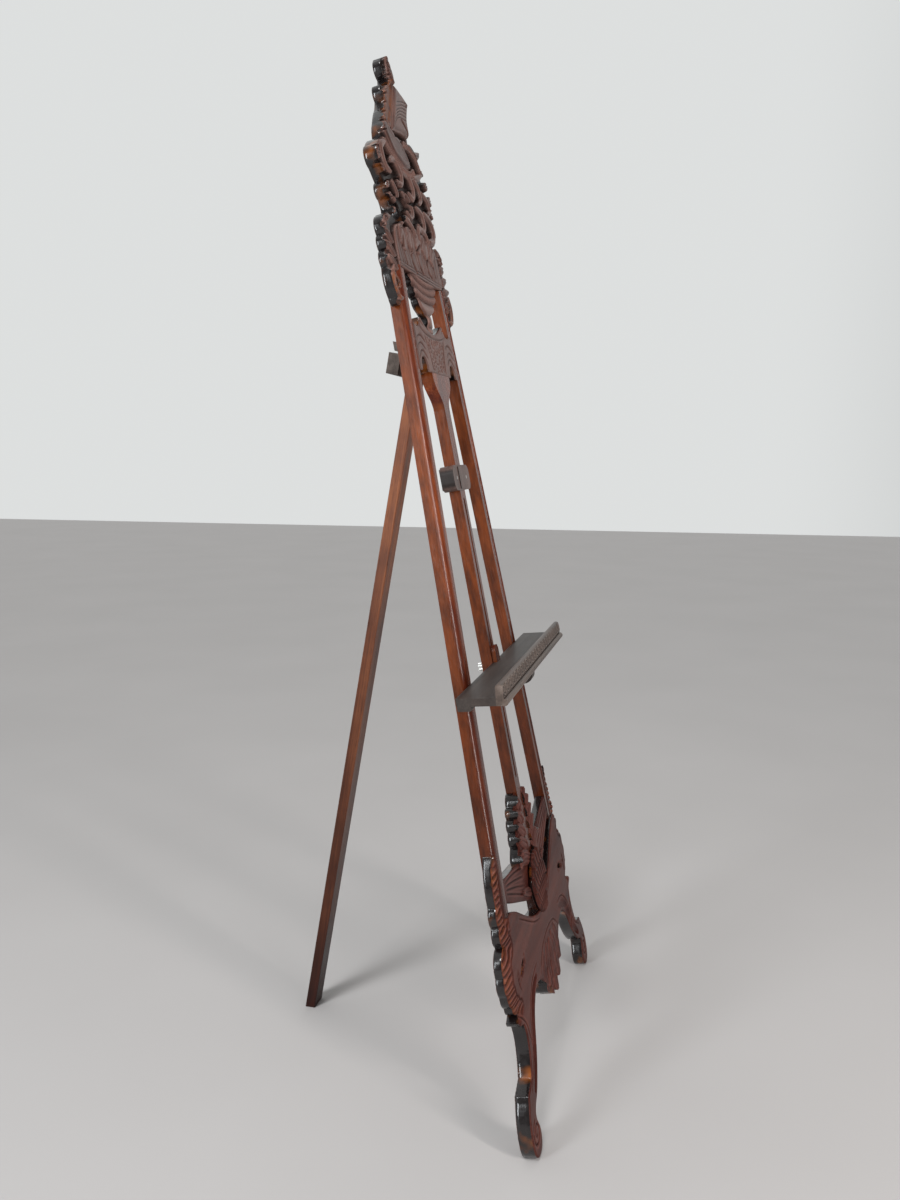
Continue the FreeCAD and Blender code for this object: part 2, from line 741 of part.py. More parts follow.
def hinge_screws(name, upper):
    """Screws through the leaves: up into the batten, or down into the crossbar."""
    items = []
    turn = Rotation() if upper else Rotation(ACROSS, 180)
    level = GAP if upper else -GAP
    reach = 0.62 * size("leaf_depth")
    for index, middle in enumerate(HINGE_PLACES):
        for offset in (-SCREW_SPREAD, SCREW_SPREAD):
            items.append(screw(f"{name}_{index}_{int(offset > 0)}", "Sizes.hinge_screw_length",
                               LEG * Placement(Vector(middle + offset, reach, level), turn)))
    return group(name, items)


upper_screws = node(hinge_screws("fixed_leaf_screws", True), "fixed_leaf_screws")
lower_screws = node(hinge_screws("moving_leaf_screws", False), "moving_leaf_screws")
for label, upper, screws in (("hinge_fixed_leaves", True, upper_screws),
                             ("hinge_moving_leaves", False, lower_screws)):
    leaves = [hinge_leaf(f"{label}_{index}", middle, upper) for index, middle in enumerate(HINGE_PLACES)]
    node(cut(label, group(label + "_pair", leaves), screws), label)
pins = [rod(f"hinge_pin_{index}", "Sizes.pin_radius - 0.05", "Sizes.leaf_length",
            LEG * Placement(Vector(middle - size("leaf_length") / 2, 0, 0), SIDEWAYS))
        for index, middle in enumerate(HINGE_PLACES)]
node(group("hinge_pins", pins), "hinge_pins")


def frame_back_at(level):
    """Where the rails' back face lies, measured in the rear leg's own frame."""
    fold = math.radians(FOLD)
    standoff = size("hinge_standoff")
    return -standoff * math.cos(fold) + (level - standoff * math.sin(fold)) * math.tan(fold)


def batten_back_at(level):
    """Where the batten's back face lies: parallel to the rails' backs."""
    return frame_back_at(level) + size("batten_depth") / math.cos(math.radians(FOLD))


def hinge_batten():
    """The batten across the rails' backs; its underside closes on the crossbar and stops the leg."""
    top = JOINT_FACE + size("batten_height")
    body = new_body("hinge_batten_blank", LEG)
    sketch = sketch_on(body, "YZ_Plane")
    outline = Outline((frame_back_at(JOINT_FACE), JOINT_FACE))
    outline.line((batten_back_at(JOINT_FACE), JOINT_FACE), (batten_back_at(top), top), (frame_back_at(top), top)).close()
    outline.draw(sketch)
    pad(body, sketch, "Sizes.batten_half_length * 2", midplane=True)
    room = [rod(f"batten_room_{index}", f"Sizes.knuckle_radius + {KNUCKLE_ROOM}", "Sizes.leaf_length + 2",
                LEG * Placement(Vector(middle - size("leaf_length") / 2 - 1, 0, 0), SIDEWAYS))
            for index, middle in enumerate(HINGE_PLACES)]
    return cut("hinge_batten_cut", body, group("batten_rooms", room))


BATTEN_MIDDLE = JOINT_FACE + size("batten_height") / 2
BATTEN_SCREW_OFFSET = (rail_inner(size("hinge_height")) + size("batten_half_length")) / 2
batten_screws = node(group("batten_screws", [
    screw(f"batten_screw_{index}", "Sizes.batten_screw_length",
          LEG * Placement(Vector(side * BATTEN_SCREW_OFFSET, batten_back_at(BATTEN_MIDDLE), BATTEN_MIDDLE),
                          Rotation(ACROSS, -FOLD) * FORWARD))
    for index, side in enumerate((-1, 1))
]), "batten_screws")
for item in nodes[:]:
    if item.Label in ("left_rail", "right_rail"):
        label = item.Label
        nodes.remove(item)
        item.Label = label + "_unscrewed"
        node(cut(label + "_whole", item, batten_screws), label)
batten = cut("hinge_batten_bored", hinge_batten(), upper_screws)
node(cut("hinge_batten", batten, batten_screws), "hinge_batten")

CROSSBAR_LOW = -JOINT_FACE - size("crossbar_height")
LEG_FRONT = size("crossbar_front")


def rear_leg():
    """The single back leg: a plain bar with a tenon on top, cut level where it meets the floor."""
    front, back = LEG_FRONT, LEG_FRONT + size("leg_depth")
    lean = math.radians(LEG_LEAN)

    def floor_at(depth):
        return -(HINGE_POINT.z + depth * math.sin(lean)) / math.cos(lean)

    body = new_body("rear_leg_bar", LEG)
    sketch = sketch_on(body, "YZ_Plane")
    Outline((front, floor_at(front))).line(
        (back, floor_at(back)), (back, CROSSBAR_LOW), (front, CROSSBAR_LOW)).close().draw(sketch)
    pad(body, sketch, "Sizes.leg_width", midplane=True)
    return body


TENON_FRONT = LEG_FRONT + (size("crossbar_depth") - size("tenon_depth")) / 2
tenon = box("leg_tenon", (-size("tenon_width") / 2, TENON_FRONT, CROSSBAR_LOW),
            ("Sizes.tenon_width", "Sizes.tenon_depth", "Sizes.tenon_length"), LEG)
tenon_peg = node(rod("tenon_peg", "Sizes.peg_diameter / 2", "Sizes.crossbar_depth",
                     LEG * Placement(Vector(0, LEG_FRONT, CROSSBAR_LOW + size("tenon_length") / 2), BACKWARD)),
                 "tenon_peg")
node(cut("rear_leg", fuse("rear_leg_whole", [rear_leg(), tenon]), tenon_peg), "rear_leg")
crossbar = box("crossbar_blank", (-size("batten_half_length"), LEG_FRONT, CROSSBAR_LOW),
               ("Sizes.batten_half_length * 2", "Sizes.crossbar_depth", "Sizes.crossbar_height"), LEG)
crossbar = cut("crossbar_screwed", crossbar, lower_screws)
crossbar = cut("crossbar_mortised", crossbar, tenon)
node(cut("leg_crossbar", crossbar, tenon_peg), "leg_crossbar")

# ------------------------------------------------------------ shelf

BEVEL = math.tan(math.radians(SHELF_ANGLE))
THICK = size("shelf_thickness")
DEPTH = size("shelf_depth")
CLEAR = size("slide_gap")


def shelf_back(level):
    """The rails' front face, with running clearance, in the shelf's own tilted frame."""
    return -CLEAR / math.cos(math.radians(SHELF_ANGLE)) + level * BEVEL


def across_body(name, outline, length):
    body = new_body(name, SHELF)
    sketch = sketch_on(body, "YZ_Plane")
    outline.draw(sketch)
    pad(body, sketch, length, midplane=True)
    return body


shelf_screws = node(group("shelf_screws", [
    screw(f"shelf_screw_{index}", "Sizes.shelf_screw_length",
          SHELF * Placement(Vector(x, -DEPTH + 28 - 16, -THICK / 2), FORWARD) * at(0, 0, -16))
    for index, x in enumerate((-260, -130, 130, 260))
]), "shelf_screws")

board_outline = Outline((shelf_back(0), 0)).line((-DEPTH, 0), (-DEPTH, -THICK), (shelf_back(-THICK), -THICK)).close()
shelf_board = cut("shelf_board_screwed",
                  across_body("shelf_board_blank", board_outline, "Sizes.shelf_half_length * 2"), shelf_screws)

LIP_TOP = size("lip_height") - THICK
LIP_FRONT = -DEPTH - size("lip_base")
lip_outline = Outline((-DEPTH, -THICK)).line((-DEPTH, LIP_TOP - 6))
lip_outline.arc((-DEPTH - 7, LIP_TOP), (-DEPTH - 14, LIP_TOP - 7))
lip_outline.line((LIP_FRONT + 5, 0), (LIP_FRONT + 7, -2)).arc((LIP_FRONT, -7), (LIP_FRONT + 3, -THICK)).close()
node(cut("shelf_lip", across_body("shelf_lip_blank", lip_outline, "Sizes.shelf_half_length * 2"),
         shelf_screws), "shelf_lip")

BATTEN_LOW = -THICK - size("shelf_batten_height")
batten_outline = Outline((shelf_back(-THICK), -THICK)).line(
    (-size("shelf_batten_depth"), -THICK), (-size("shelf_batten_depth"), BATTEN_LOW),
    (shelf_back(BATTEN_LOW), BATTEN_LOW)).close()
batten_body = across_body("shelf_batten_blank", batten_outline, "Sizes.shelf_half_length * 2")
corbel_room = box("corbel_room", (-size("corbel_thickness") / 2, -200, -100),
                  ("Sizes.corbel_thickness", 300, 100), SHELF)
node(cut("shelf_batten", batten_body, corbel_room), "shelf_batten")

REACH, DROP = size("corbel_reach"), size("corbel_drop")
CORBEL_LOW = -THICK - DROP
corbel_outline = Outline((shelf_back(-THICK), -THICK)).line((-REACH + 8, -THICK))
corbel_outline.curve((-REACH - 2, -THICK - 10), (-REACH, -THICK - 24), (-REACH + 14, -THICK - 32),
                     (-REACH + 28, -THICK - 24))
corbel_outline.curve((-REACH + 40, -THICK - 20), (-18, CORBEL_LOW + 4), (shelf_back(CORBEL_LOW), CORBEL_LOW)).close()
corbel = across_body("shelf_corbel", corbel_outline, "Sizes.corbel_thickness")


def keyhole(sketch):
    """The round eye of the corbel's volute."""
    sketch.addGeometry(Part.Circle(Vector(-REACH + 14, -THICK - 17, 0), Vector(0, 0, 1), 4.0), False)


pocket(corbel, keyhole, "YZ_Plane", "Sizes.corbel_thickness * 2", midplane=True)
node(corbel, "shelf_corbel")

TONGUE_TOP = size("tongue_height")
TONGUE = size("tongue_thickness")
tongue_half = size("tongue_width") / 2
SLIDER = SHELF * Placement(Vector(), Rotation(ACROSS, -SHELF_ANGLE)) * at(0, -CLEAR, 0)
tongue_foot = -size("tongue_seat")
tongue_outline = Outline((-tongue_half, tongue_foot)).line((-tongue_half, TONGUE_TOP - tongue_half))
tongue_outline.arc((0, TONGUE_TOP), (tongue_half, TONGUE_TOP - tongue_half))
tongue_outline.line((tongue_half, tongue_foot)).close()
tongue = node(board("shelf_tongue_blank", tongue_outline, "Sizes.tongue_thickness", SLIDER * at(0, -TONGUE, 0)),
              "shelf_tongue")
shelf_board = cut("shelf_board_notched", shelf_board, tongue)

BOLT_UP = size("bolt_height")
STACK = size("centre_depth") + 2 * CLEAR
BOLT_LENGTH = size("bolt_bite") + STACK + size("washer_thickness") + size("nut_thickness") + 2.0
bolt_shank = node(rod("shelf_bolt", "Sizes.bolt_diameter / 2", f"{BOLT_LENGTH} mm",
                      SLIDER * Placement(Vector(0, -size("bolt_bite"), BOLT_UP), BACKWARD)), "shelf_bolt")
node(cut("shelf_board", shelf_board, bolt_shank), "shelf_board")
washer = rod("washer_blank", "Sizes.washer_radius", "Sizes.washer_thickness",
             SLIDER * Placement(Vector(0, STACK, BOLT_UP), BACKWARD))
node(cut("shelf_washer", washer, bolt_shank), "shelf_washer")

NUT = SLIDER * Placement(Vector(0, STACK + size("washer_thickness") + 0.1, BOLT_UP), BACKWARD)
nut_core = rod("nut_core", "Sizes.nut_radius - Sizes.nut_lobe_radius", "Sizes.nut_thickness", NUT)
nut_parts = [nut_core]
LOBES = int(size("nut_lobes"))
for index in range(LOBES):
    turn = 2 * math.pi * index / LOBES
    reach = size("nut_radius") - size("nut_lobe_radius")
    nut_parts.append(rod(f"nut_lobe_{index}", "Sizes.nut_lobe_radius", "Sizes.nut_thickness",
                         NUT * at(reach * math.cos(turn), reach * math.sin(turn), 0)))
nut_bore = rod("nut_bore", "Sizes.bolt_diameter / 2 + 0.05", "Sizes.nut_thickness * 3",
               NUT * at(0, 0, -size("nut_thickness")))
node(cut("thumb_nut", fuse("nut_blank", nut_parts), nut_bore), "thumb_nut")

# ------------------------------------------------------------ picture holder

HOLD = FRAME * at(0, 0, size("holder_height"))
PROUD = size("holder_proud")
HALF = size("holder_half_width")
CHEEK_BACK = size("centre_depth") + size("slide_gap")
PLATE_BACK = CHEEK_BACK + size("holder_plate")
CORNER = size("holder_corner")
RUN = size("centre_width") / 2 + size("slide_clearance")
TALL = size("holder_tall")


def rounded(half, tall, corner):
    """An oblong with rounded corners, about the holder's middle."""
    rise, mid = tall / 2, corner * (1 - math.sqrt(0.5))
    outline = Outline((-half + corner, -rise)).line((half - corner, -rise))
    outline.arc((half - mid, -rise + mid), (half, -rise + corner)).line((half, rise - corner))
    outline.arc((half - mid, rise - mid), (half - corner, rise)).line((-half + corner, rise))
    outline.arc((-half + mid, rise - mid), (-half, rise - corner)).line((-half, -rise + corner))
    return outline.arc((-half + mid, -rise + mid), (-half + corner, -rise))


cheeks = board("holder_cheeks", rounded(HALF, TALL, CORNER), f"{PROUD + CHEEK_BACK} mm", HOLD * at(0, -PROUD, 0))
band = box("holder_band", (-size("holder_band") / 2, -PROUD - 1.5, -TALL / 2 + 3),
           ("Sizes.holder_band", PROUD, "Sizes.holder_tall - 6"), HOLD)
channel = box("holder_channel", (-RUN, -CLEAR, -TALL), (2 * RUN, CHEEK_BACK + CLEAR + 1, 2 * TALL), HOLD)
holder_body = cut("picture_holder_blank", fuse("holder_banded", [cheeks, band]), channel)
holder_screws = node(group("holder_screws", [
    screw(f"holder_screw_{index}", "Sizes.holder_screw_length",
          HOLD * Placement(Vector(side * size("holder_screw_offset"), -PROUD, 0), BACKWARD))
    for index, side in enumerate((-1, 1))
]), "holder_screws")
node(cut("picture_holder", holder_body, holder_screws), "picture_holder")
plate = box("holder_plate_blank", (-HALF + CORNER, CHEEK_BACK, -TALL / 2 + 4),
            (2 * (HALF - CORNER), "Sizes.holder_plate", TALL - 8), HOLD)
node(cut("holder_back_plate", plate, holder_screws), "holder_back_plate")

# ------------------------------------------------------------ check and write

doc.recompute()
broken = [item.Label for item in doc.Objects if {"Invalid", "Error"} & set(item.State)]
if broken:
    raise ValueError(f"objects that failed: {broken}")
os.makedirs("parts", exist_ok=True)
for item in nodes:
    shape = item.Shape
    if shape.isNull() or not shape.isValid() or not shape.Solids:
        raise ValueError(f"{item.Label} has no valid shape")
    shape.exportStep(f"parts/{item.Label}.step")
    print(item.Label, len(shape.Solids), round(shape.Volume))
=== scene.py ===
"""Looks for the carved display easel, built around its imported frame.

Lengths are metres in the scene. Carving is worked out in the leaning frame's own
plane, in millimetres: x across, depth back from the rails' front, height up the lean.
"""

import json
import math

import bpy
import numpy as np
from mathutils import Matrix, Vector


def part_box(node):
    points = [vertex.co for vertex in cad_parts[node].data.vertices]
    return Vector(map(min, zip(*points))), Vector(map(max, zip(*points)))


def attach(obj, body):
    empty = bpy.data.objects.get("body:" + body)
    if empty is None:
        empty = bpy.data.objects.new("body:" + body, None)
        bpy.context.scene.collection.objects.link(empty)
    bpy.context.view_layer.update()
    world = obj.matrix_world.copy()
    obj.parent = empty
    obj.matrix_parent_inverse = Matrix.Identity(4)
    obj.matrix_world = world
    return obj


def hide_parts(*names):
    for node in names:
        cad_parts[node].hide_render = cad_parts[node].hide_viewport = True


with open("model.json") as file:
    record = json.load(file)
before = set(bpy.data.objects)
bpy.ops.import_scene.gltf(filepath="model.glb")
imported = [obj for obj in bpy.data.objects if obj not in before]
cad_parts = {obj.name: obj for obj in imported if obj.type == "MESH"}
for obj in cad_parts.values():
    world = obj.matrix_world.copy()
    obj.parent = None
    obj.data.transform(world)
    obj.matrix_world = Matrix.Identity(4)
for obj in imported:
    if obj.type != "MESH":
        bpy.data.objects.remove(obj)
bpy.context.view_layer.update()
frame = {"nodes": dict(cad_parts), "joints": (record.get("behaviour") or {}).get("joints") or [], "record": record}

# ---------------------------------------------------------------- the frame's plane

MM = 0.001
ACROSS = np.array((1.0, 0.0, 0.0))
JOINTS = {joint["name"]: joint for joint in frame["joints"]}
UP = np.array(JOINTS["shelf_slide"]["axis"], float)
UP /= np.linalg.norm(UP)
BACK = np.array((0.0, UP[2], -UP[1]))


def mesh_points(node):
    return np.array([vertex.co for vertex in frame["nodes"][node].data.vertices])


TOE = np.array((0.0, (mesh_points("centre_rail") @ BACK).min() / BACK[1], 0.0))


def to_plane(points):
    """World metres to (x, depth, height) in the frame's plane, in millimetres."""
    local = (points - TOE) / MM
    return np.stack([local @ ACROSS, local @ BACK, local @ UP], -1)


def to_world(x, depth, height):
    """Frame plane millimetres to world metres, for whole arrays."""
    x, depth, height = np.broadcast_arrays(x, depth, height)
    flat = np.stack([x, depth, height], -1) * MM
    return TOE + flat[..., :1] * ACROSS + flat[..., 1:2] * BACK + flat[..., 2:] * UP


# ---------------------------------------------------------------- materials


def new_material(name):
    material = bpy.data.materials.new(name)
    material.use_nodes = True
    nodes = material.node_tree.nodes
    nodes.clear()
    shader = nodes.new("ShaderNodeBsdfPrincipled")
    output = nodes.new("ShaderNodeOutputMaterial")
    material.node_tree.links.new(shader.outputs["BSDF"], output.inputs["Surface"])
    return material, shader


class Graph:
    """Short calls for making and joining shader nodes."""

    def __init__(self, material):
        self.tree = material.node_tree

    def link(self, source, target):
        self.tree.links.new(source, target)

    def put(self, socket, value):
        if isinstance(value, bpy.types.NodeSocket):
            self.link(value, socket)
        else:
            socket.default_value = value

    def noise(self, vector, scale, detail=3.0, roughness=0.55, distortion=0.0):
        node = self.tree.nodes.new("ShaderNodeTexNoise")
        self.link(vector, node.inputs["Vector"])
        node.inputs["Scale"].default_value = scale
        node.inputs["Detail"].default_value = detail
        node.inputs["Roughness"].default_value = roughness
        node.inputs["Distortion"].default_value = distortion
        return node.outputs["Fac"]

    def mapping(self, vector, rotation=(0, 0, 0), scale=(1, 1, 1)):
        node = self.tree.nodes.new("ShaderNodeMapping")
        self.link(vector, node.inputs["Vector"])
        node.inputs["Rotation"].default_value = rotation
        node.inputs["Scale"].default_value = scale
        return node.outputs["Vector"]

    def maths(self, operation, first, second=0.0, clamp=False):
        node = self.tree.nodes.new("ShaderNodeMath")
        node.operation = operation
        node.use_clamp = clamp
        self.put(node.inputs[0], first)
        self.put(node.inputs[1], second)
        return node.outputs[0]

    def ramp(self, value, stops):
        node = self.tree.nodes.new("ShaderNodeValToRGB")
        self.link(value, node.inputs["Fac"])
        elements = node.color_ramp.elements
        while len(elements) < len(stops):
            elements.new(0.5)
        for element, (position, colour) in zip(elements, stops):
            element.position = position
            element.color = (*colour, 1.0)
        return node.outputs["Color"]

    def span(self, value, low, high, start=0.0, stop=1.0):
        node = self.tree.nodes.new("ShaderNodeMapRange")
        self.link(value, node.inputs["Value"])
        for name, number in (("From Min", start), ("From Max", stop), ("To Min", low), ("To Max", high)):
            node.inputs[name].default_value = number
        return node.outputs["Result"]

    def mix(self, factor, first, second, blend="MIX"):
        node = self.tree.nodes.new("ShaderNodeMix")
        node.data_type = "RGBA"
        node.blend_type = blend
        self.put(node.inputs["Factor"], factor)
        colours = [socket for socket in node.inputs if socket.type == "RGBA"]
        for socket, value in zip(colours, (first, second)):
            self.put(socket, value if isinstance(value, bpy.types.NodeSocket) else (*value, 1.0))
        return next(socket for socket in node.outputs if socket.type == "RGBA")

    def attribute(self, name):
        node = self.tree.nodes.new("ShaderNodeAttribute")
        node.attribute_name = name
        return node.outputs["Fac"]

    def bump(self, height, strength, distance):
        node = self.tree.nodes.new("ShaderNodeBump")
        node.inputs["Strength"].default_value = strength
        node.inputs["Distance"].default_value = distance
        self.link(height, node.inputs["Height"])
        return node.outputs["Normal"]

    def object_coordinates(self):
        return self.tree.nodes.new("ShaderNodeTexCoord").outputs["Object"]


def wood(name, tones, grain, shine, carved=False, amber=None, streak=1.0, coat=0.0, glint=0.3,
         foot_shade_and_stain=None,
         side_light_and_tone=None):
    """Stained wood. tones run from dark to light, grain is its direction and shine its roughness range."""
    material, shader = new_material(name)
    graph = Graph(material)
    turn = Vector(grain).rotation_difference(Vector((0, 0, 1))).to_euler()
    place = graph.mapping(graph.object_coordinates(), rotation=turn)
    broad = graph.noise(graph.mapping(place, scale=(38, 38, 1.6)), 1.0, 4.0, 0.6, 0.6)
    fibre = graph.noise(graph.mapping(place, scale=(330, 330, 7)), 1.0, 3.0, 0.6)
    pores = graph.noise(graph.mapping(place, scale=(900, 900, 38)), 1.0, 2.0, 0.5)
    cloud = graph.noise(place, 9.0, 3.0, 0.6)
    grainy = graph.maths("MULTIPLY", graph.maths("SUBTRACT", broad, 0.5), 1.5 * streak)
    fine = graph.maths("MULTIPLY", graph.maths("SUBTRACT", fibre, 0.5), 0.8 * streak)
    patchy = graph.maths("MULTIPLY", graph.maths("SUBTRACT", cloud, 0.5), 0.9)
    total = graph.maths("ADD", graph.maths("ADD", graph.maths("ADD", grainy, fine), patchy), 0.5, clamp=True)
    colour = graph.ramp(total, list(zip((0.05, 0.5, 0.95), tones)))
    pore_mask = graph.span(pores, 0.0, 0.55, 0.56, 0.72)
    colour = graph.mix(pore_mask, colour, tuple(0.35 * c for c in tones[0]))
    if amber:
        speckle = graph.noise(graph.mapping(place, scale=(1, 1, 0.4)), 120.0, 4.0, 0.7, 0.4)
        spots = graph.maths("MULTIPLY", graph.span(speckle, 0.0, 1.0, 0.42, 0.66), graph.attribute("warm"))
        colour = graph.mix(spots, colour, amber)
    # faces turned across x get their own mottled colour: on the rails it is painted light, the amber of their lit
    # sides; on the holder it makes the sides near-black
    if side_light_and_tone:
        facing = graph.tree.nodes.new("ShaderNodeSeparateXYZ")
        graph.link(graph.tree.nodes.new("ShaderNodeTexCoord").outputs["Normal"], facing.inputs["Vector"])
        sideways = graph.span(graph.maths("ABSOLUTE", facing.outputs["X"]), 0.0, 0.85, 0.75, 0.95)
        drift = graph.ramp(graph.noise(graph.mapping(place, scale=(1, 1, 0.25)), 60.0, 4.0, 0.65),
                           [(0.34, tuple(0.45 * c for c in side_light_and_tone)), (0.52, side_light_and_tone),
                            (0.70, tuple(min(1.0, 1.5 * c) for c in side_light_and_tone))])
        colour = graph.mix(sideways, colour, drift)
    # darker towards the floor: partly painted shade, partly darker stain
    if foot_shade_and_stain:
        low, high, shade = foot_shade_and_stain
        split = graph.tree.nodes.new("ShaderNodeSeparateXYZ")
        graph.link(graph.object_coordinates(), split.inputs["Vector"])
        factor = graph.span(split.outputs["Z"], 1.0, 0.0, low, high)
        colour = graph.mix(factor, colour, shade, "MULTIPLY")
    if carved:
        # painted shade: the carving's recesses are mixed towards near-black by the carve attribute
        recess_shade = graph.attribute("carve")
        colour = graph.mix(graph.span(recess_shade, 0.0, 0.93, 0.0, 1.0), colour, (0.006, 0.0035, 0.003))
        # painted highlight: a light tone is mixed in on ridges, edges and raised parts
        highlight_mask = graph.attribute("painted_highlight")
        light = tuple(min(1.0, 2.0 * c + 0.05) for c in tones[2])
        colour = graph.mix(graph.span(highlight_mask, 0.0, 0.55, 0.0, 1.0), colour, light)
    graph.link(colour, shader.inputs["Base Color"])
    rough = graph.maths("ADD", graph.maths("MULTIPLY", cloud, 0.6), graph.maths("MULTIPLY", fibre, 0.4))
    graph.link(graph.span(rough, shine[0], shine[1], 0.3, 0.7), shader.inputs["Roughness"])
    relief = graph.maths("ADD", graph.maths("MULTIPLY", fibre, 0.6), graph.maths("MULTIPLY", pore_mask, -0.9))
    relief = graph.maths("ADD", relief, graph.maths("MULTIPLY", broad, 0.5))
    graph.link(graph.bump(relief, 0.35, 0.0006), shader.inputs["Normal"])
    shader.inputs["Specular IOR Level"].default_value = glint
    shader.inputs["Coat Weight"].default_value = coat
    shader.inputs["Coat Roughness"].default_value = 0.12
    return material


def edge_lacquer(name, dark, amber):
    """Sawn edges under thick dark lacquer, with amber patches here and there."""
    material, shader = new_material(name)
    graph = Graph(material)
    place = graph.object_coordinates()
    stain = graph.noise(place, 24.0, 2.0, 0.5)
    middle = tuple(0.3 * c for c in amber)
    graph.link(graph.ramp(stain, [(0.55, dark), (0.63, middle), (0.74, amber)]), shader.inputs["Base Color"])
    ripple = graph.noise(place, 90.0, 3.0, 0.5)
    graph.link(graph.span(ripple, 0.14, 0.30, 0.3, 0.7), shader.inputs["Roughness"])
    graph.link(graph.bump(ripple, 0.3, 0.0008), shader.inputs["Normal"])
    shader.inputs["Coat Weight"].default_value = 0.35
    shader.inputs["Coat Roughness"].default_value = 0.1
    return material


def metal(name, colour, shine):
    material, shader = new_material(name)
    graph = Graph(material)
    place = graph.object_coordinates()
    blotch = graph.noise(place, 160.0, 4.0, 0.6)
    scratch = graph.noise(graph.mapping(place, scale=(1, 6, 1)), 700.0, 2.0, 0.6)
    dull = tuple(0.45 * c for c in colour)
    graph.link(graph.mix(graph.span(blotch, 0.0, 0.8, 0.45, 0.75), colour, dull), shader.inputs["Base Color"])
    graph.link(graph.span(scratch, shine[0], shine[1], 0.3, 0.7), shader.inputs["Roughness"])
    graph.link(graph.bump(scratch, 0.25, 0.0003), shader.inputs["Normal"])
    shader.inputs["Metallic"].default_value = 1.0
    return material


def floor_material():
    material, shader = new_material("pale_floor")
    graph = Graph(material)
    tone = graph.noise(graph.object_coordinates(), 1.4, 3.0, 0.5)
    graph.link(graph.mix(tone, (0.40, 0.385, 0.38), (0.44, 0.425, 0.42)), shader.inputs["Base Color"])
    shader.inputs["Roughness"].default_value = 0.75
    return material


LEG_AXIS = mesh_points("rear_leg")
LEG_AXIS = LEG_AXIS[LEG_AXIS[:, 2].argmax()] - LEG_AXIS[LEG_AXIS[:, 2].argmin()]
LEG_AXIS = (0.0, LEG_AXIS[1], LEG_AXIS[2])

MAHOGANY = ((0.028, 0.0055, 0.0040), (0.064, 0.0165, 0.0120), (0.115, 0.034, 0.024))
CREST_TONES = ((0.030, 0.0115, 0.0085), (0.080, 0.034, 0.026), (0.150, 0.074, 0.058))
AMBER_RED = ((0.042, 0.0045, 0.002), (0.125, 0.021, 0.006), (0.260, 0.058, 0.014))
LEG_TONES = ((0.050, 0.013, 0.006), (0.160, 0.048, 0.017), (0.290, 0.098, 0.035))
AMBER = (0.200, 0.055, 0.010)
# the rails darken towards the floor by this: partly painted shade, partly stain
FOOT_SHADE_AND_STAIN = (0.12, 0.05, 0.06)

# the rails' side faces carry painted light, a lit amber
rails_wood = wood("rails_lacquer", AMBER_RED, tuple(UP), (0.20, 0.32), coat=0.25, glint=0.20,
                  foot_shade_and_stain=(0.20, 1.15, FOOT_SHADE_AND_STAIN), side_light_and_tone=(0.150, 0.034, 0.006))
base_wood = wood("base_lacquer", MAHOGANY, (1, 0, 0.04), (0.34, 0.50), carved=True, amber=AMBER, glint=0.10)
crest_wood = wood("crest_lacquer", CREST_TONES, (0.15, 0, 1), (0.26, 0.42), carved=True, amber=AMBER,
                  glint=0.25)
leg_wood = wood("leg_lacquer", LEG_TONES, LEG_AXIS, (0.30, 0.46), coat=0.1, glint=0.2,
                foot_shade_and_stain=(0.02, 1.25, (0.16, 0.09, 0.10)))
block_wood = wood("block_stain", ((0.035, 0.026, 0.022), (0.080, 0.062, 0.052), (0.140, 0.110, 0.094)),
                  (1, 0, 0),
                  (0.60, 0.80), streak=1.2)
shelf_wood = wood("shelf_stain", ((0.016, 0.011, 0.010), (0.036, 0.027, 0.023), (0.062, 0.048, 0.041)),
                  (1, 0, 0),
                  (0.42, 0.60), carved=True, coat=0.05)
lip_wood = wood("lip_stain", ((0.030, 0.020, 0.016), (0.078, 0.055, 0.044), (0.140, 0.105, 0.087)), (1, 0, 0),
                (0.36, 0.52), carved=True, coat=0.1)
holder_wood = wood("holder_stain", ((0.045, 0.026, 0.022), (0.105, 0.066, 0.056), (0.170, 0.108, 0.092)),
                   tuple(UP),
                   (0.34, 0.50), coat=0.15, glint=0.25, side_light_and_tone=(0.006, 0.006, 0.006))
edge_wood = edge_lacquer("edge_lacquer", (0.006, 0.0035, 0.0035), (0.230, 0.065, 0.012))
peg_wood = wood("peg_beech", ((0.36, 0.24, 0.13), (0.55, 0.40, 0.24), (0.66, 0.50, 0.33)), (0, 0, 1),
                (0.5, 0.7))
brass = metal("hinge_brass", (0.52, 0.39, 0.17), (0.28, 0.46))
zinc = metal("screw_zinc", (0.66, 0.64, 0.60), (0.22, 0.42))
cast_metal = metal("nut_casting", (0.72, 0.72, 0.70), (0.25, 0.42))

SLOT_LOOKS = {
    "rails": rails_wood, "base": base_wood, "crest": crest_wood, "rear_leg": leg_wood,
    "hinge_blocks": block_wood,
    "shelf": shelf_wood, "holder": holder_wood, "pegs": peg_wood, "hinges": brass, "screws": zinc,
    "bolt": zinc,
    "nut": cast_metal,
}
NODE_SLOT = {row["node"]: row["material_slot"] for row in frame["record"]["subparts"]}


def dress(item, material):
    item.data.materials.clear()
    item.data.materials.append(material)


def soften(item, width):
    """Joins a CAD mesh's split corners and rounds its sharp edges, without touching its own mesh."""
    weld = item.modifiers.new("weld", "WELD")
    weld.merge_threshold = 0.00002
    bevel = item.modifiers.new("bevel", "BEVEL")
    bevel.width = width
    bevel.segments = 2
    bevel.limit_method = "ANGLE"
    bevel.angle_limit = math.radians(40)
    bevel.harden_normals = False


for label, item in frame["nodes"].items():
    dress(item, SLOT_LOOKS[NODE_SLOT[label]])
for label in ("shelf_board", "shelf_batten", "leg_crossbar", "hinge_batten", "rear_leg", "holder_back_plate"):
    soften(frame["nodes"][label], 0.0009)

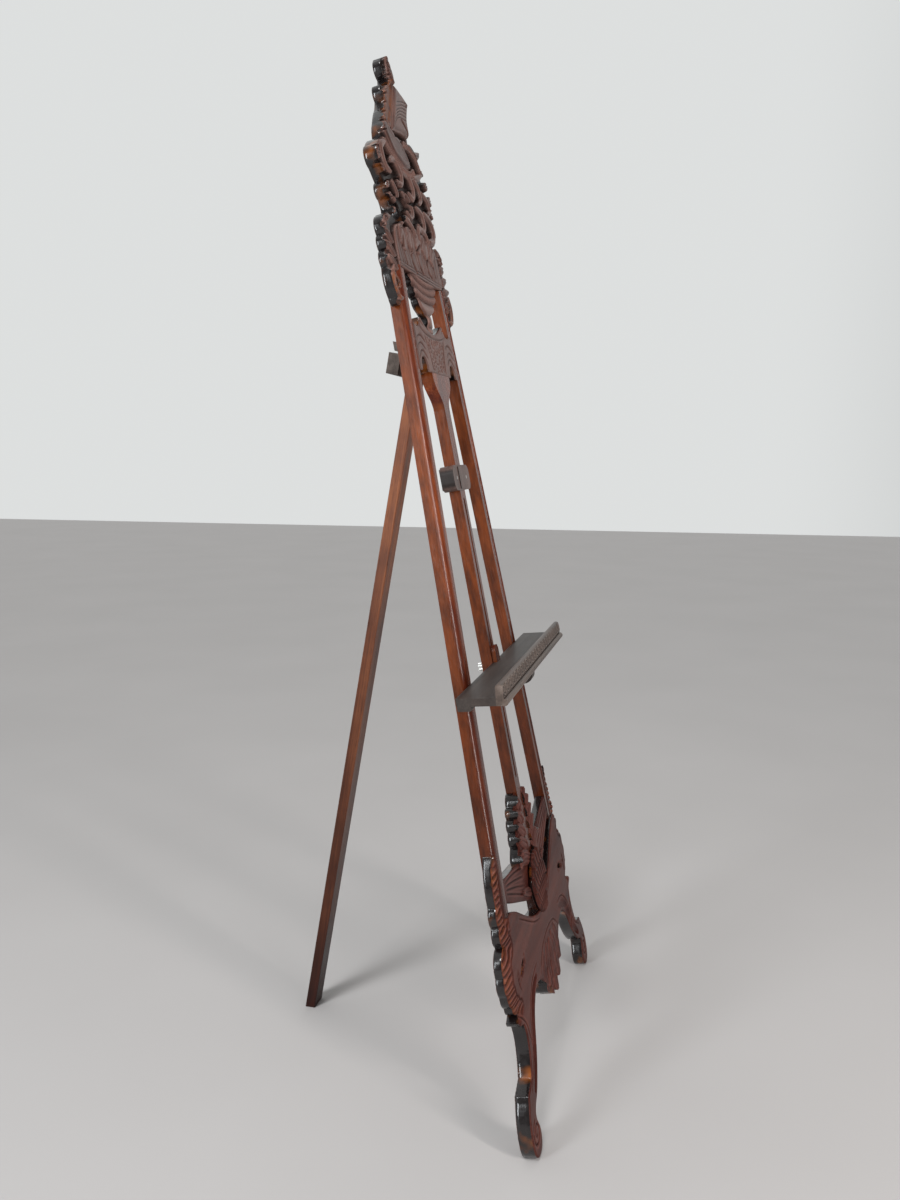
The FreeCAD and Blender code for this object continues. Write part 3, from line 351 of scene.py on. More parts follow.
# ---------------------------------------------------------------- carving tools


def smooth_line(points, steps=7):
    """A Catmull-Rom line through the points, as an array."""
    knots = np.array([points[0], *points, points[-1]], float)
    if len(points) == 2:
        return knots[1:3]
    rows = []
    for before, start, stop, after in zip(knots, knots[1:], knots[2:], knots[3:]):
        for step in range(steps):
            t = step / steps
            rows.append(0.5
                        * (2 * start + (stop - before) * t + (2 * before - 5 * start + 4 * stop - after) * t * t
                               + (3 * start - before - 3 * stop + after) * t ** 3))
    rows.append(knots[-2])
    return np.array(rows)


def along_line(x, z, line):
    """Distance from each point to a line, how far along it in millimetres, and the line's length."""
    nearest = np.full(x.shape, 1e9)
    along = np.zeros(x.shape)
    walked = 0.0
    for start, stop in zip(line, line[1:]):
        run = stop - start
        length = math.hypot(*run)
        if length < 1e-6:
            continue
        share = np.clip(((x - start[0]) * run[0] + (z - start[1]) * run[1]) / length ** 2, 0, 1)
        gap = np.hypot(x - start[0] - share * run[0], z - start[1] - share * run[1])
        closer = gap < nearest
        nearest = np.where(closer, gap, nearest)
        along = np.where(closer, walked + share * length, along)
        walked += length
    return nearest, along, walked


class Surface:
    """Heights over a set of plane points, and how much painted shade, painted highlight and amber each one gets.
    """

    def __init__(self, x, z, inset):
        self.x, self.z, self.inset = x, z, inset
        self.height = np.zeros(x.shape)
        self.dark = np.zeros(x.shape)
        self.warm = np.zeros(x.shape)
        self.painted_highlight = np.zeros(x.shape)

    def near(self, line, reach):
        low, high = line.min(0) - reach, line.max(0) + reach
        return (self.x > low[0]) & (self.x < high[0]) & (self.z > low[1]) & (self.z < high[1])

    def groove(self, points, width, depth, dark=0.85):
        """A gouge cut that fades out at both ends, with painted shade along its middle and a painted highlight
        along each flank.
        """
        line = smooth_line(points)
        spot = self.near(line, 3 * width)
        if not spot.any():
            return
        gap, along, length = along_line(self.x[spot], self.z[spot], line)
        fade = np.sqrt(np.clip(np.minimum(along, length - along) / (0.22 * length), 0, 1)) * 0.8 + 0.2
        shape = np.exp(-(gap / width) ** 2) * fade
        self.height[spot] -= depth * shape
        self.dark[spot] = np.maximum(self.dark[spot], dark * np.exp(-(gap / (0.8 * width)) ** 2) * fade)
        flank = 0.5 * np.exp(-((gap - 2.1 * width) / (0.7 * width)) ** 2) * fade
        self.painted_highlight[spot] = np.maximum(self.painted_highlight[spot], flank)

    def leaf(self, points, width, height, vein=1.5, base=-6.0, tip=0.35, flat=2):
        """A rounded leaf that stands over what is behind it, with a vein along its middle; painted shade on its
        edge and vein, a painted highlight just inside its edge.
        """
        line = smooth_line(points)
        spot = self.near(line, width)
        if not spot.any():
            return
        gap, along, length = along_line(self.x[spot], self.z[spot], line)
        share = along / length
        taper = np.clip(np.minimum(share / 0.25, (1 - share) / 0.45), 0, 1)
        wide = width * (tip + (1 - tip) * np.sqrt(taper))
        dome = 1 - (gap / wide) ** flat
        crown = base + (height - base) * np.sqrt(np.clip(dome, 0, 1))
        crown -= vein * np.exp(-(gap / 1.7) ** 2) * np.clip(taper * 3, 0, 1)
        over = (dome > 0) & (crown > self.height[spot])
        edge = 0.95 * ((wide - gap) < 1.1)
        vein_tone = 0.75 * np.exp(-(gap / 1.1) ** 2) * np.clip(taper * 3, 0, 1) * (vein > 0)
        bright = 0.8 * np.exp(-((wide - gap - 2.3) / 0.9) ** 2)
        self.height[spot] = np.where(over, crown, self.height[spot])
        self.dark[spot] = np.where(over, np.maximum(edge, vein_tone), self.dark[spot])
        self.painted_highlight[spot] = np.where(over, bright, self.painted_highlight[spot])

    def beaded(self, points, width, height, pitch=7.0):
        """A C-scroll band with raised edges and a ladder of beads along it, with painted shade between the beads
        and at its outer edge and a painted highlight on its rims and beads.
        """
        line = smooth_line(points)
        spot = self.near(line, width + 3)
        gap, along, _ = along_line(self.x[spot], self.z[spot], line)
        band = gap < width
        rim = np.exp(-((gap - 0.8 * width) / (0.16 * width)) ** 2)
        ladder = 0.5 + 0.5 * np.cos(2 * math.pi * along / pitch)
        inner = np.clip(1 - (gap / (0.62 * width)) ** 2, 0, 1)
        crown = height - 3 + 3 * rim + 2.6 * ladder * np.sqrt(inner)
        tone = np.where(gap < 0.66 * width, 0.75 * (1 - ladder),
                        0.0) + 0.8 * (np.abs(gap - 0.95 * width) < 0.8)
        self.height[spot] = np.where(band, crown, self.height[spot])
        self.dark[spot] = np.where(band, np.clip(tone, 0, 1), self.dark[spot])
        self.painted_highlight[spot] = np.where(band, np.maximum(rim, ladder * (gap < 0.6 * width)), self.painted_highlight[spot])

    def hollow(self, points, width, depth, warm=0.0):
        line = smooth_line(points)
        gap, along, length = along_line(self.x, self.z, line)
        share = along / length
        wide = width * (0.35 + 0.65 * np.sin(math.pi * np.clip(share, 0, 1)) ** 0.6)
        bowl = np.clip(1 - (gap / wide) ** 2, 0, 1)
        self.height -= depth * bowl
        self.warm = np.maximum(self.warm, warm * np.clip(bowl * 3, 0, 1))
        # most painted shade is cleared inside the bowl
        self.dark = np.where(bowl > 0, self.dark * 0.3, self.dark)

    def dome(self, outline, height, edge=7.0, base=-6.0, hollow=0.0, warm=0.0):
        """A smooth raised field inside a closed outline, or a dished one where hollow is given, with painted shade
        at its rim and a painted highlight just inside it.
        """
        line = smooth_line([*outline, outline[0]], 4)
        spot = self.near(line, 1.0)
        if not spot.any():
            return
        x, z = self.x[spot], self.z[spot]
        inset = signed_inset([(tuple(a), tuple(b)) for a,
                              b in zip(line, line[1:]) if math.dist(a, b) > 1e-3], x, z)
        rise = np.clip(inset / edge, 0, 1)
        crown = base + (height - base) * np.sqrt(1
                                                 - (1 - rise) ** 2) - hollow * np.clip((inset - 1.5) / edge, 0, 1)
        over = (inset > 0) & (crown > self.height[spot] - 2.0)
        rim = np.clip(1 - inset / 1.3, 0, 1) * 0.9
        self.height[spot] = np.where(over, crown, self.height[spot])
        self.dark[spot] = np.where(over, rim, self.dark[spot])
        self.painted_highlight[spot] = np.where(over, 0.8 * np.exp(-((inset - 2.5) / 1.0) ** 2), self.painted_highlight[spot])
        self.warm[spot] = np.where(over, warm, self.warm[spot])

    def spiral(self, centre, radius, turns, width, depth, side=1, start=0.0):
        steps = int(14 * turns)
        points = []
        for step in range(steps + 1):
            share = step / steps
            angle = start + side * 2 * math.pi * turns * share
            reach = radius * (1 - 0.82 * share)
            points.append((centre[0] + reach * math.cos(angle), centre[1] + reach * math.sin(angle)))
        self.groove(points, width, depth)

    def edge_round(self, radius):
        """Rolls the front face over towards its outline."""
        inward = np.clip(self.inset, 0, radius)
        self.height -= radius - np.sqrt(np.clip(radius ** 2 - (radius - inward) ** 2, 0, None))


def front_edges(names):
    """The outline of some boards' front faces, with the edges that two of them share left out."""
    seen = {}
    depths = []
    for name in names:
        flat = to_plane(mesh_points(name))
        front = flat[:, 1].min()
        depths.append((front, flat[:, 1].max()))
        for face in frame["nodes"][name].data.polygons:
            corners = [flat[index] for index in face.vertices]
            if max(corner[1] for corner in corners) > front + 0.05:
                continue
            keys = [(round(float(corner[0]), 1), round(float(corner[2]), 1)) for corner in corners]
            for start, stop in zip(keys, keys[1:] + keys[:1]):
                pair = (min(start, stop), max(start, stop))
                if start != stop:
                    seen[pair] = seen.get(pair, 0) + 1
    return [pair for pair, count in seen.items() if count == 1], depths[0]


def signed_inset(edges, x, z):
    """Distance inside (+) or outside (-) the outline."""
    nearest = np.full(x.shape, 1e12)
    inside = np.zeros(x.shape, bool)
    for (x0, z0), (x1, z1) in edges:
        dx, dz = x1 - x0, z1 - z0
        share = np.clip(((x - x0) * dx + (z - z0) * dz) / (dx * dx + dz * dz), 0, 1)
        nearest = np.minimum(nearest, (x - x0 - share * dx) ** 2 + (z - z0 - share * dz) ** 2)
        if z0 != z1:
            inside ^= ((z < z1) != (z < z0)) & (x < x0 + (z - z0) * dx / dz)
    return np.where(inside, 1.0, -1.0) * np.sqrt(nearest)


def trace_cells(inset):
    """Marching squares: faces over grid corners and outline crossings, and the outline's steps."""
    rows, columns = inset.shape
    inside = inset > 0
    crossings, faces, outline = {}, [], []

    def crossing(first, second):
        key = (min(first, second), max(first, second))
        if key not in crossings:
            crossings[key] = rows * columns + len(crossings)
        return crossings[key]

    whole = inside[:-1, :-1] & inside[:-1, 1:] & inside[1:, 1:] & inside[1:, :-1]
    partly = (inside[:-1, :-1] | inside[:-1, 1:] | inside[1:, 1:] | inside[1:, :-1]) & ~whole
    for row, column in np.argwhere(whole):
        low = int(row * columns + column)
        faces.append((low, low + 1, low + columns + 1, low + columns))
    for row, column in np.argwhere(partly):
        low = int(row * columns + column)
        ring = (low, low + 1, low + columns + 1, low + columns)
        state = [bool(inside.flat[index]) for index in ring]
        walk, exits = [], []
        for index in range(4):
            here, there = ring[index], ring[(index + 1) % 4]
            if state[index]:
                walk.append(here)
            if state[index] != state[(index + 1) % 4]:
                walk.append(crossing(here, there))
                exits.append((len(walk) - 1, state[index]))
        if len(exits) == 4:
            for index in (i for i in range(4) if state[i]):
                here = ring[index]
                after = crossing(here, ring[(index + 1) % 4])
                before = crossing(here, ring[index - 1])
                faces.append((before, here, after))
                outline.append((after, before))
            continue
        faces.append(tuple(walk))
        leaving = next(place for place, was_inside in exits if was_inside)
        entering = next(place for place, was_inside in exits if not was_inside)
        outline.append((walk[leaving], walk[entering]))
    return crossings, faces, outline


WALL_ROWS = 4


def carve(name, nodes, shape, material, cell=2.0, body="frame", back_round=1.2):
    """A board sawn to its CAD outline, with its front face carved by shape(surface)."""
    edges, (front, back) = front_edges(nodes)
    corners = np.array(edges).reshape(-1, 2)
    low, high = corners.min(0) - 2 * cell, corners.max(0) + 2 * cell
    x, z = np.meshgrid(np.arange(low[0], high[0], cell), np.arange(low[1], high[1], cell))
    inset = signed_inset(edges, x, z)
    crossings, faces, outline = trace_cells(inset)
    flat_x, flat_z, flat_inset = x.ravel(), z.ravel(), inset.ravel()
    pairs = np.array(list(crossings.keys()))
    share = flat_inset[pairs[:, 0]] / (flat_inset[pairs[:, 0]] - flat_inset[pairs[:, 1]])
    cross_x = flat_x[pairs[:, 0]] + share * (flat_x[pairs[:, 1]] - flat_x[pairs[:, 0]])
    cross_z = flat_z[pairs[:, 0]] + share * (flat_z[pairs[:, 1]] - flat_z[pairs[:, 0]])
    every_x = np.concatenate([flat_x, cross_x])
    every_z = np.concatenate([flat_z, cross_z])
    every_inset = np.concatenate([flat_inset, np.zeros(len(cross_x))])
    used = np.unique(np.concatenate([np.array(face) for face in faces]))
    renumber = -np.ones(len(every_x), int)
    renumber[used] = np.arange(len(used))
    surface = Surface(every_x[used], every_z[used], every_inset[used])
    shape(surface)
    depth = front - surface.height
    depth = np.minimum(depth, back - 3.0)
    count = len(used)
    front_points = to_world(surface.x, depth, surface.z)
    back_drop = np.clip(back_round - surface.inset, 0, None)
    back_points = to_world(surface.x, back - back_drop, surface.z)
    blocks = [front_points, back_points]
    front_faces = [[int(renumber[index]) for index in face] for face in faces]
    back_faces = [[index + count for index in reversed(face)] for face in front_faces]
    ring = sorted({int(renumber[index]) for step in outline for index in step})
    ring_place = {index: position for position, index in enumerate(ring)}
    ring_index = np.array(ring)
    wall_start = 2 * count
    wall_faces = []
    for row in range(1, WALL_ROWS):
        part = row / WALL_ROWS
        start_depth = depth[ring_index]
        stop_depth = back - back_round
        blocks.append(to_world(surface.x[ring_index], start_depth + (stop_depth - start_depth) * part,
                               surface.z[ring_index]))

    def wall_vertex(index, row):
        if row == 0:
            return index
        if row == WALL_ROWS:
            return index + count
        return wall_start + (row - 1) * len(ring) + ring_place[index]

    for leaving, entering in outline:
        a, b = int(renumber[leaving]), int(renumber[entering])
        for row in range(WALL_ROWS):
            wall_faces.append((wall_vertex(b, row), wall_vertex(a, row), wall_vertex(a, row + 1),
                               wall_vertex(b, row + 1)))
    vertices = np.concatenate(blocks)
    vertices[:, 2] = np.maximum(vertices[:, 2], 0.0)
    mesh = bpy.data.meshes.new(name)
    mesh.from_pydata(vertices.tolist(), [], front_faces + back_faces + wall_faces)
    mesh.update()
    faces_before = len(front_faces) + len(back_faces)
    is_wall = (np.arange(len(mesh.polygons)) >= faces_before).astype(np.int32)
    mesh.polygons.foreach_set("material_index", is_wall)
    # painted shade of the carving goes into the carve attribute, painted highlight into its own
    dark = np.zeros(len(vertices))
    dark[:count] = np.clip(surface.dark, 0, 1)
    warm = np.zeros(len(vertices))
    warm[:count] = surface.warm
    painted_highlight = np.zeros(len(vertices))
    # raised parts get more painted highlight, as if they catch the light
    painted_highlight[:count] = np.clip(np.maximum(surface.painted_highlight, (surface.height - 1.0) / 8.0), 0, 1)
    for label, values in (("carve", dark), ("warm", warm), ("painted_highlight", painted_highlight)):
        attribute = mesh.attributes.new(label, "FLOAT", "POINT")
        attribute.data.foreach_set("value", values.astype(np.float32))
    return add_piece(mesh, name, nodes, (material, edge_wood), body)


def add_piece(mesh, name, nodes, materials, body):
    mesh.validate()
    mesh.shade_smooth()
    mesh.set_sharp_from_angle(angle=math.radians(50))
    item = bpy.data.objects.new(name, mesh)
    bpy.context.scene.collection.objects.link(item)
    for material in materials:
        mesh.materials.append(material)
    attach(item, body)
    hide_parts(*nodes)
    return item


# ---------------------------------------------------------------- base board

BOTH = (1, -1)


def sided(points, side):
    return [(side * x, z) for x, z in points]


def base_relief(surface):
    x, z, inset = surface.x, surface.z, surface.inset
    out = np.abs(x)
    wing = np.clip((out - 262) / 14, 0, 1) * np.clip((z - 232) / 20, 0, 1)
    surface.edge_round(2.5)
    bevel = np.clip(1 - inset / 20.0, 0, 1)
    surface.height -= 10.0 * wing * bevel ** 1.2
    # hatching: painted shade in each stroke, painted highlight on the ridges between them
    slant = z + 0.55 * out
    stroke = np.clip(np.cos(2 * math.pi * slant / 11.0), 0, 1) ** 1.5
    hatch = wing * np.clip(inset / 1.5, 0, 1) * np.clip((19.0 - inset) / 2, 0, 1)
    surface.height -= 2.8 * stroke * hatch
    surface.dark = np.maximum(surface.dark, 0.8 * stroke * hatch)
    surface.painted_highlight = np.clip(-np.cos(2 * math.pi * slant / 11.0), 0, 1) ** 4 * hatch
    # an incised rule with painted shade along it
    rule = np.exp(-((inset - 22.0) / 1.5) ** 2) * wing
    surface.height -= 2.6 * rule
    surface.dark = np.maximum(surface.dark, 0.85 * rule)
    for side in BOTH:
        surface.groove(sided([(288, 258), (300, 242), (276, 214), (266, 184), (262, 152), (268, 124)],
                             side), 2.0, 2.8)
        surface.hollow(sided([(150, 236), (196, 222), (228, 188), (246, 156), (270, 124), (300, 96)],
                             side), 13, 5.5)
        surface.groove(sided([(130, 252), (196, 240), (240, 204), (262, 162), (288, 130), (322, 108)],
                             side), 1.6, 2.6)
        surface.groove(sided([(300, 196), (304, 150), (322, 122)], side), 1.6, 2.2)
        surface.spiral((side * 338, 42), 25, 1.6, 2.2, 3.6, side=-side, start=math.pi / 2)
        surface.groove(sided([(196, 376), (140, 344), (84, 314), (40, 300)], side), 1.5, 2.2)
        surface.groove(sided([(206, 302), (222, 306), (240, 298)], side), 1.6, 1.6)
        for offset in (-24, -12, 0, 12, 24):
            surface.groove(sided([(231 + offset, 286 - 0.15 * offset), (234 + offset, 308 - 0.3 * offset)],
                                 side),
                           1.4, 1.8, 0.5)
    surface.leaf([(0, 232), (0, 190), (0, 118)], 22, 3.0, 1.8, base=-2.0)
    for side in BOTH:
        surface.leaf(sided([(28, 236), (42, 200), (42, 128)], side), 18, 2.4, 1.8, base=-2.0)
        surface.leaf(sided([(64, 236), (78, 206), (76, 156)], side), 14, 1.8, 1.6, base=-2.0)
        surface.groove(sided([(20, 196), (21, 165), (22, 134)], side), 2.6, 7, 1.0)
        surface.groove(sided([(57, 200), (60, 180), (60, 156)], side), 2.4, 6.5, 1.0)
        for offset in (6, 12):
            surface.groove(sided([(offset, 224), (offset + 1, 185), (offset * 0.5, 136)], side), 0.9, 1.3,
                           0.7)
            surface.groove(sided([(32 + offset * 0.6, 226), (44 + offset * 0.5, 190),
                                  (44 + offset * 0.2, 146)], side),
                           0.9, 1.3, 0.7)
    surface.groove([(-108, 214), (-70, 244), (0, 254), (70, 244), (108, 214)], 1.6, 2.2)
    surface.warm = np.clip(wing * bevel, 0, 1) * 0.7


carve("carved_base", ["left_scroll_leg", "apron_board", "right_scroll_leg"], base_relief, base_wood,
      cell=1.8)


# ---------------------------------------------------------------- brackets and palmette


def bracket_relief(side):
    def shape(surface):
        surface.edge_round(4.5)
        surface.height -= 2.5
        for step in range(4):
            surface.groove(sided([(222, 458 - 7 * step), (160, 448 - 13 * step), (84, 430 - 19 * step)],
                                 side), 1.8, 2.6)
        surface.leaf(sided([(22, 420), (70, 440), (100, 436)], side), 14, 4.5, 2.0, base=-4)
        for low, high, reach in ((425, 452, 72), (448, 482, 70), (474, 508, 66), (500, 532, 58),
                                 (524, 560, 44)):
            surface.leaf(sided([(16, low), (0.6 * reach, low + 0.55 * (high - low)), (reach, high)], side),
                         13, 5.0, 2.2, base=-5)
        surface.leaf(sided([(30, 352), (70, 372), (110, 388)], side), 10, 3.0, 1.5, base=-4)
        surface.groove(sided([(26, 560), (30, 500), (28, 430)], side), 1.8, 3.5)

    return shape


for label, side in (("left", -1), ("right", 1)):
    carve(f"{label}_bracket_carving", [f"{label}_swag_bracket"], bracket_relief(side), base_wood,
          cell=1.6)


def palmette_relief(surface):
    surface.edge_round(3.5)
    x, z = surface.x, surface.z
    turn = np.arctan2(x, z - 236.0)
    rib = 0.5 + 0.5 * np.cos(turn * 2 * math.pi / 0.105)
    row = ((z + 0.0035 * x * x - 304.0) / 33.0) % 1.0
    fade = np.clip(surface.inset / 4, 0, 1)
    surface.height += (2.4 * rib ** 0.7 + 3.2 * (1 - row)) * fade - 1.5
    # painted shade between the ribs and at each row's edge
    surface.dark = np.clip(0.85 * (1 - rib) ** 2 + 0.8 * (row > 0.9), 0, 1) * fade


carve("palmette_carving", ["palmette"], palmette_relief, base_wood, cell=1.4)

# ---------------------------------------------------------------- crest

FLAME = [(54, 2012), (30, 2004), (-4, 1978), (-34, 1950), (-50, 1922), (-46, 1904), (-22, 1894), (6, 1924),
         (34, 1962),
         (52, 1990)]
RUFFLE = [(58, 2006), (96, 2004), (146, 1995), (132, 1974), (112, 1944), (106, 1914), (60, 1906), (8, 1898),
          (-16, 1893), (2, 1922), (26, 1956), (46, 1988)]
STEM = [(-78, 1886), (-48, 1902), (-18, 1894), (24, 1890), (66, 1868), (76, 1846), (44, 1834), (4, 1838),
        (-34, 1848)]
FAN = [(-138, 1612), (-140, 1668), (-112, 1694), (-70, 1698), (-30, 1702), (14, 1712), (56, 1706),
       (104, 1702),
       (146, 1690), (146, 1612)]
EDGE_LOBES = [
    ((-96, 1890), 15), ((-120, 1868), 17), ((-140, 1840), 19), ((-148, 1812), 17), ((-138, 1786), 15),
    ((-126, 1764), 14), ((-118, 1742), 12), ((-112, 1720), 11), ((182, 1806), 16), ((178, 1778), 16),
    ((184, 1750), 15),
    ((174, 1724), 14), ((170, 1834), 14), ((164, 1862), 13),
]
C_SCROLLS = [
    # line, half width, height
    ([(-96, 1846), (-124, 1828), (-118, 1800), (-92, 1792)], 9, 4.0),
    ([(-84, 1816), (-52, 1826), (-24, 1808), (-30, 1786), (-58, 1784)], 9, 4.5),
    ([(-14, 1812), (26, 1816), (48, 1796), (34, 1774), (6, 1778)], 9, 5.0),
    ([(58, 1822), (92, 1812), (100, 1788), (78, 1774)], 8, 4.0),
    ([(-96, 1776), (-74, 1758), (-90, 1738), (-108, 1742)], 7, 3.5),
    ([(-40, 1768), (-4, 1764), (14, 1744), (-4, 1726), (-28, 1734)], 9, 4.0),
    ([(44, 1760), (78, 1756), (88, 1732), (66, 1716), (40, 1724)], 9, 4.5),
    ([(112, 1806), (148, 1800), (158, 1780), (138, 1768)], 8, 4.0),
    ([(104, 1762), (142, 1756), (160, 1736), (146, 1714), (112, 1706)], 12, 4.0),
    ([(-84, 1700), (-50, 1718), (-14, 1708), (-2, 1692)], 8, 5.0),
    ([(22, 1692), (36, 1716), (74, 1716), (96, 1698)], 8, 5.0),
]
COMMAS = [
    [(-46, 1660), (-50, 1638), (-28, 1616)], [(20, 1680), (-6, 1662), (-2, 1638), (18, 1622)],
    [(78, 1668), (58, 1652), (60, 1636), (78, 1626)], [(118, 1672), (104, 1652), (108, 1632)],
    [(-94, 1674), (-102, 1650), (-90, 1624)], [(60, 1936), (88, 1926), (110, 1902), (140, 1880)],
    [(-6, 1885), (40, 1901), (98, 1910)], [(-50, 1780), (0, 1758), (30, 1764)],
    [(-24, 1716), (20, 1730), (40, 1744)],
]
FAN_LINES = [
    [(-60, 1688), (-54, 1656), (-36, 1620)], [(-34, 1692), (-40, 1668), (-34, 1650)],
    [(2, 1698), (-4, 1690), (-8, 1678)],
    [(60, 1700), (48, 1664), (54, 1620)], [(104, 1690), (92, 1660), (98, 1620)],
    [(-108, 1688), (-112, 1652), (-100, 1620)],
    [(-70, 1690), (-62, 1650), (-44, 1618)], [(-80, 1690), (-76, 1650), (-62, 1618)],
    [(-22, 1694), (-26, 1656), (-6, 1618)],
    [(-12, 1698), (-14, 1660), (4, 1618)], [(40, 1700), (26, 1664), (30, 1620)],
    [(50, 1700), (38, 1662), (42, 1620)],
    [(94, 1694), (80, 1660), (88, 1620)], [(-120, 1688), (-124, 1650), (-112, 1618)],
    [(132, 1684), (124, 1650), (128, 1620)],
]


def crest_relief(surface):
    surface.height -= 7.0
    # painted shade: the sunk ground between the carvings starts near-black
    surface.dark += 1.0
    for (x, z), reach in EDGE_LOBES:
        surface.dome([(x - reach, z), (x, z + 0.75 * reach), (x + reach, z + 2), (x, z - 0.75 * reach)],
                     3.0, 2.5)
        surface.groove([(x - 0.7 * reach, z - 3), (x + 0.8 * reach, z + 1)], 0.9, 1.6, 0.8)
        surface.groove([(x - 0.7 * reach, z + 3), (x + 0.8 * reach, z + 6)], 0.9, 1.6, 0.8)
    surface.dome(FAN, 2.0, 5.0)
    for x, z in ((-92, 1690), (-46, 1694), (6, 1702), (52, 1700), (98, 1694)):
        surface.dome([(x - 24, z - 26), (x - 20, z), (x, z + 9), (x + 20, z), (x + 22, z - 24),
                      (x, z - 44)], 4.5, 4.0)
        for inner in (4, 8):
            surface.groove([(x - 20 + inner, z - 14), (x - 14 + inner, z + 2 - 0.5 * inner),
                            (x + 2, z + 7 - inner),
                            (x + 16 - inner, z + 1 - 0.5 * inner), (x + 19 - inner, z - 12)], 0.9, 1.5, 0.8)
    for points, width, height in C_SCROLLS:
        surface.leaf(points, width, height, 0.0, tip=0.5, flat=5)
        surface.leaf(points, 0.55 * width, height + 1.6, 0.0, base=height - 1.5, tip=0.4, flat=3)
    surface.dome(STEM, 3.5, 14.0, hollow=2.0)
    surface.beaded([(-104, 1876), (-84, 1848), (-40, 1830), (10, 1822), (58, 1826), (84, 1838)], 9, 3.5, 5.0)
    surface.beaded([(50, 1884), (86, 1886), (122, 1876), (142, 1856)], 8, 3.0, 5.0)
    surface.leaf([(78, 1828), (112, 1836), (150, 1852)], 9, 4.0, 0.0)
    surface.leaf([(98, 1894), (140, 1888), (178, 1906)], 9, 2.0, 1.2)
    surface.dome(RUFFLE, 3.5, 12.0)
    surface.dome(FLAME, 4.0, 10.0, hollow=7.0, warm=1.0)
    surface.leaf([(62, 2010), (50, 2030), (40, 2050)], 17, 4.0, 0.0)
    surface.spiral((45, 2036), 12, 1.3, 1.6, 3.0, side=1, start=-math.pi / 2)
    for step in range(6):
        lift = 9 * step
        surface.groove([(2 + lift, 1908 + 1.3 * lift), (46 + lift, 1936 + lift),
                        (104 + 0.5 * lift, 1946 + 0.95 * lift)],
                       1.0, 1.7, 0.8)
    surface.spiral((122, 1984), 9, 1.1, 1.1, 2.0, side=1)
    for points in COMMAS:
        surface.groove(points, 2.6, 8.0, 1.0)
    for points in FAN_LINES:
        surface.groove(points, 1.0, 1.5, 0.7)
    for step in range(7):
        rise = 1868 + 23 * step
        surface.groove([(-96 + 19 * step, rise), (-56 + 17 * step, rise + 14)], 1.5, 4.5, 1.0)
        surface.groove([(-90 + 19 * step, rise + 8), (-60 + 17 * step, rise + 19)], 0.9, 1.6, 0.6)
    for level in (1611, 1617, 1623):
        surface.groove([(-150, level), (0, level - 1), (150, level)], 1.0, 1.8, 0.8)
    surface.edge_round(2.5)


carve("crest_carving", ["crest_board"], crest_relief, crest_wood, cell=1.2)


def ear_relief(side):
    def shape(surface):
        surface.height -= 3.0
        # painted shade: the sunk ground starts half dark
        surface.dark += 0.5
        surface.leaf(sided([(150, 1700), (176, 1696), (186, 1676)], side), 13, 4.0, 1.5, base=-5)
        for top, foot in ((1672, 1650), (1648, 1626), (1624, 1602), (1598, 1570)):
            surface.leaf(sided([(160, foot), (180, 0.5 * (top + foot)), (200, top - 6)], side), 11, 3.5,
                         1.8, base=-5)
        surface.leaf(sided([(164, 1548), (186, 1552), (196, 1580), (186, 1604)], side), 8, 4.0, 0.0, base=-5)
        surface.spiral((side * 176, 1682), 11, 1.4, 1.6, 3.0, side=-side)
        surface.edge_round(4.0)
        lower = np.clip((1600 - surface.z) / 20, 0, 1)
        surface.warm = lower

    return shape


for label, side in (("left", -1), ("right", 1)):
    carve(f"{label}_ear_carving", [f"{label}_ear"], ear_relief(side), crest_wood, cell=1.3)


def pendant_relief(surface):
    x, z = surface.x, surface.z
    out = np.abs(x)
    tiers = ((1609, 1596, 6.0), (1596, 1580, 4.5), (1580, 1564, 5.0), (1564, 1540, 3.0), (1540, 1516, 4.0),
             (1516, 1500, 2.0))
    for top, foot, rise in tiers:
        bow = 0.0016 * out ** 2
        share = (z - bow - foot) / (top - foot)
        within = (share > 0) & (share <= 1)
        roll = np.sqrt(np.clip(1 - (2 * share - 1) ** 2, 0, 1))
        surface.height = np.where(within, rise * roll - 1.5, surface.height)
        # painted shade in the creases between tiers, painted highlight on their crowns
        surface.dark = np.where(within, np.clip(0.9 - 1.8 * roll, 0, 1), surface.dark)
        surface.painted_highlight = np.where(within, 0.3 + 0.5 * roll ** 6, surface.painted_highlight)
    ribs = np.clip(np.cos(2 * math.pi * x / 7.5), 0, 1) * (z > 1562)
    surface.height -= 1.6 * ribs
    surface.dark = np.maximum(surface.dark, 0.55 * ribs)
    surface.edge_round(4.0)


carve("pendant_carving", ["crest_pendant"], pendant_relief, crest_wood, cell=1.5)


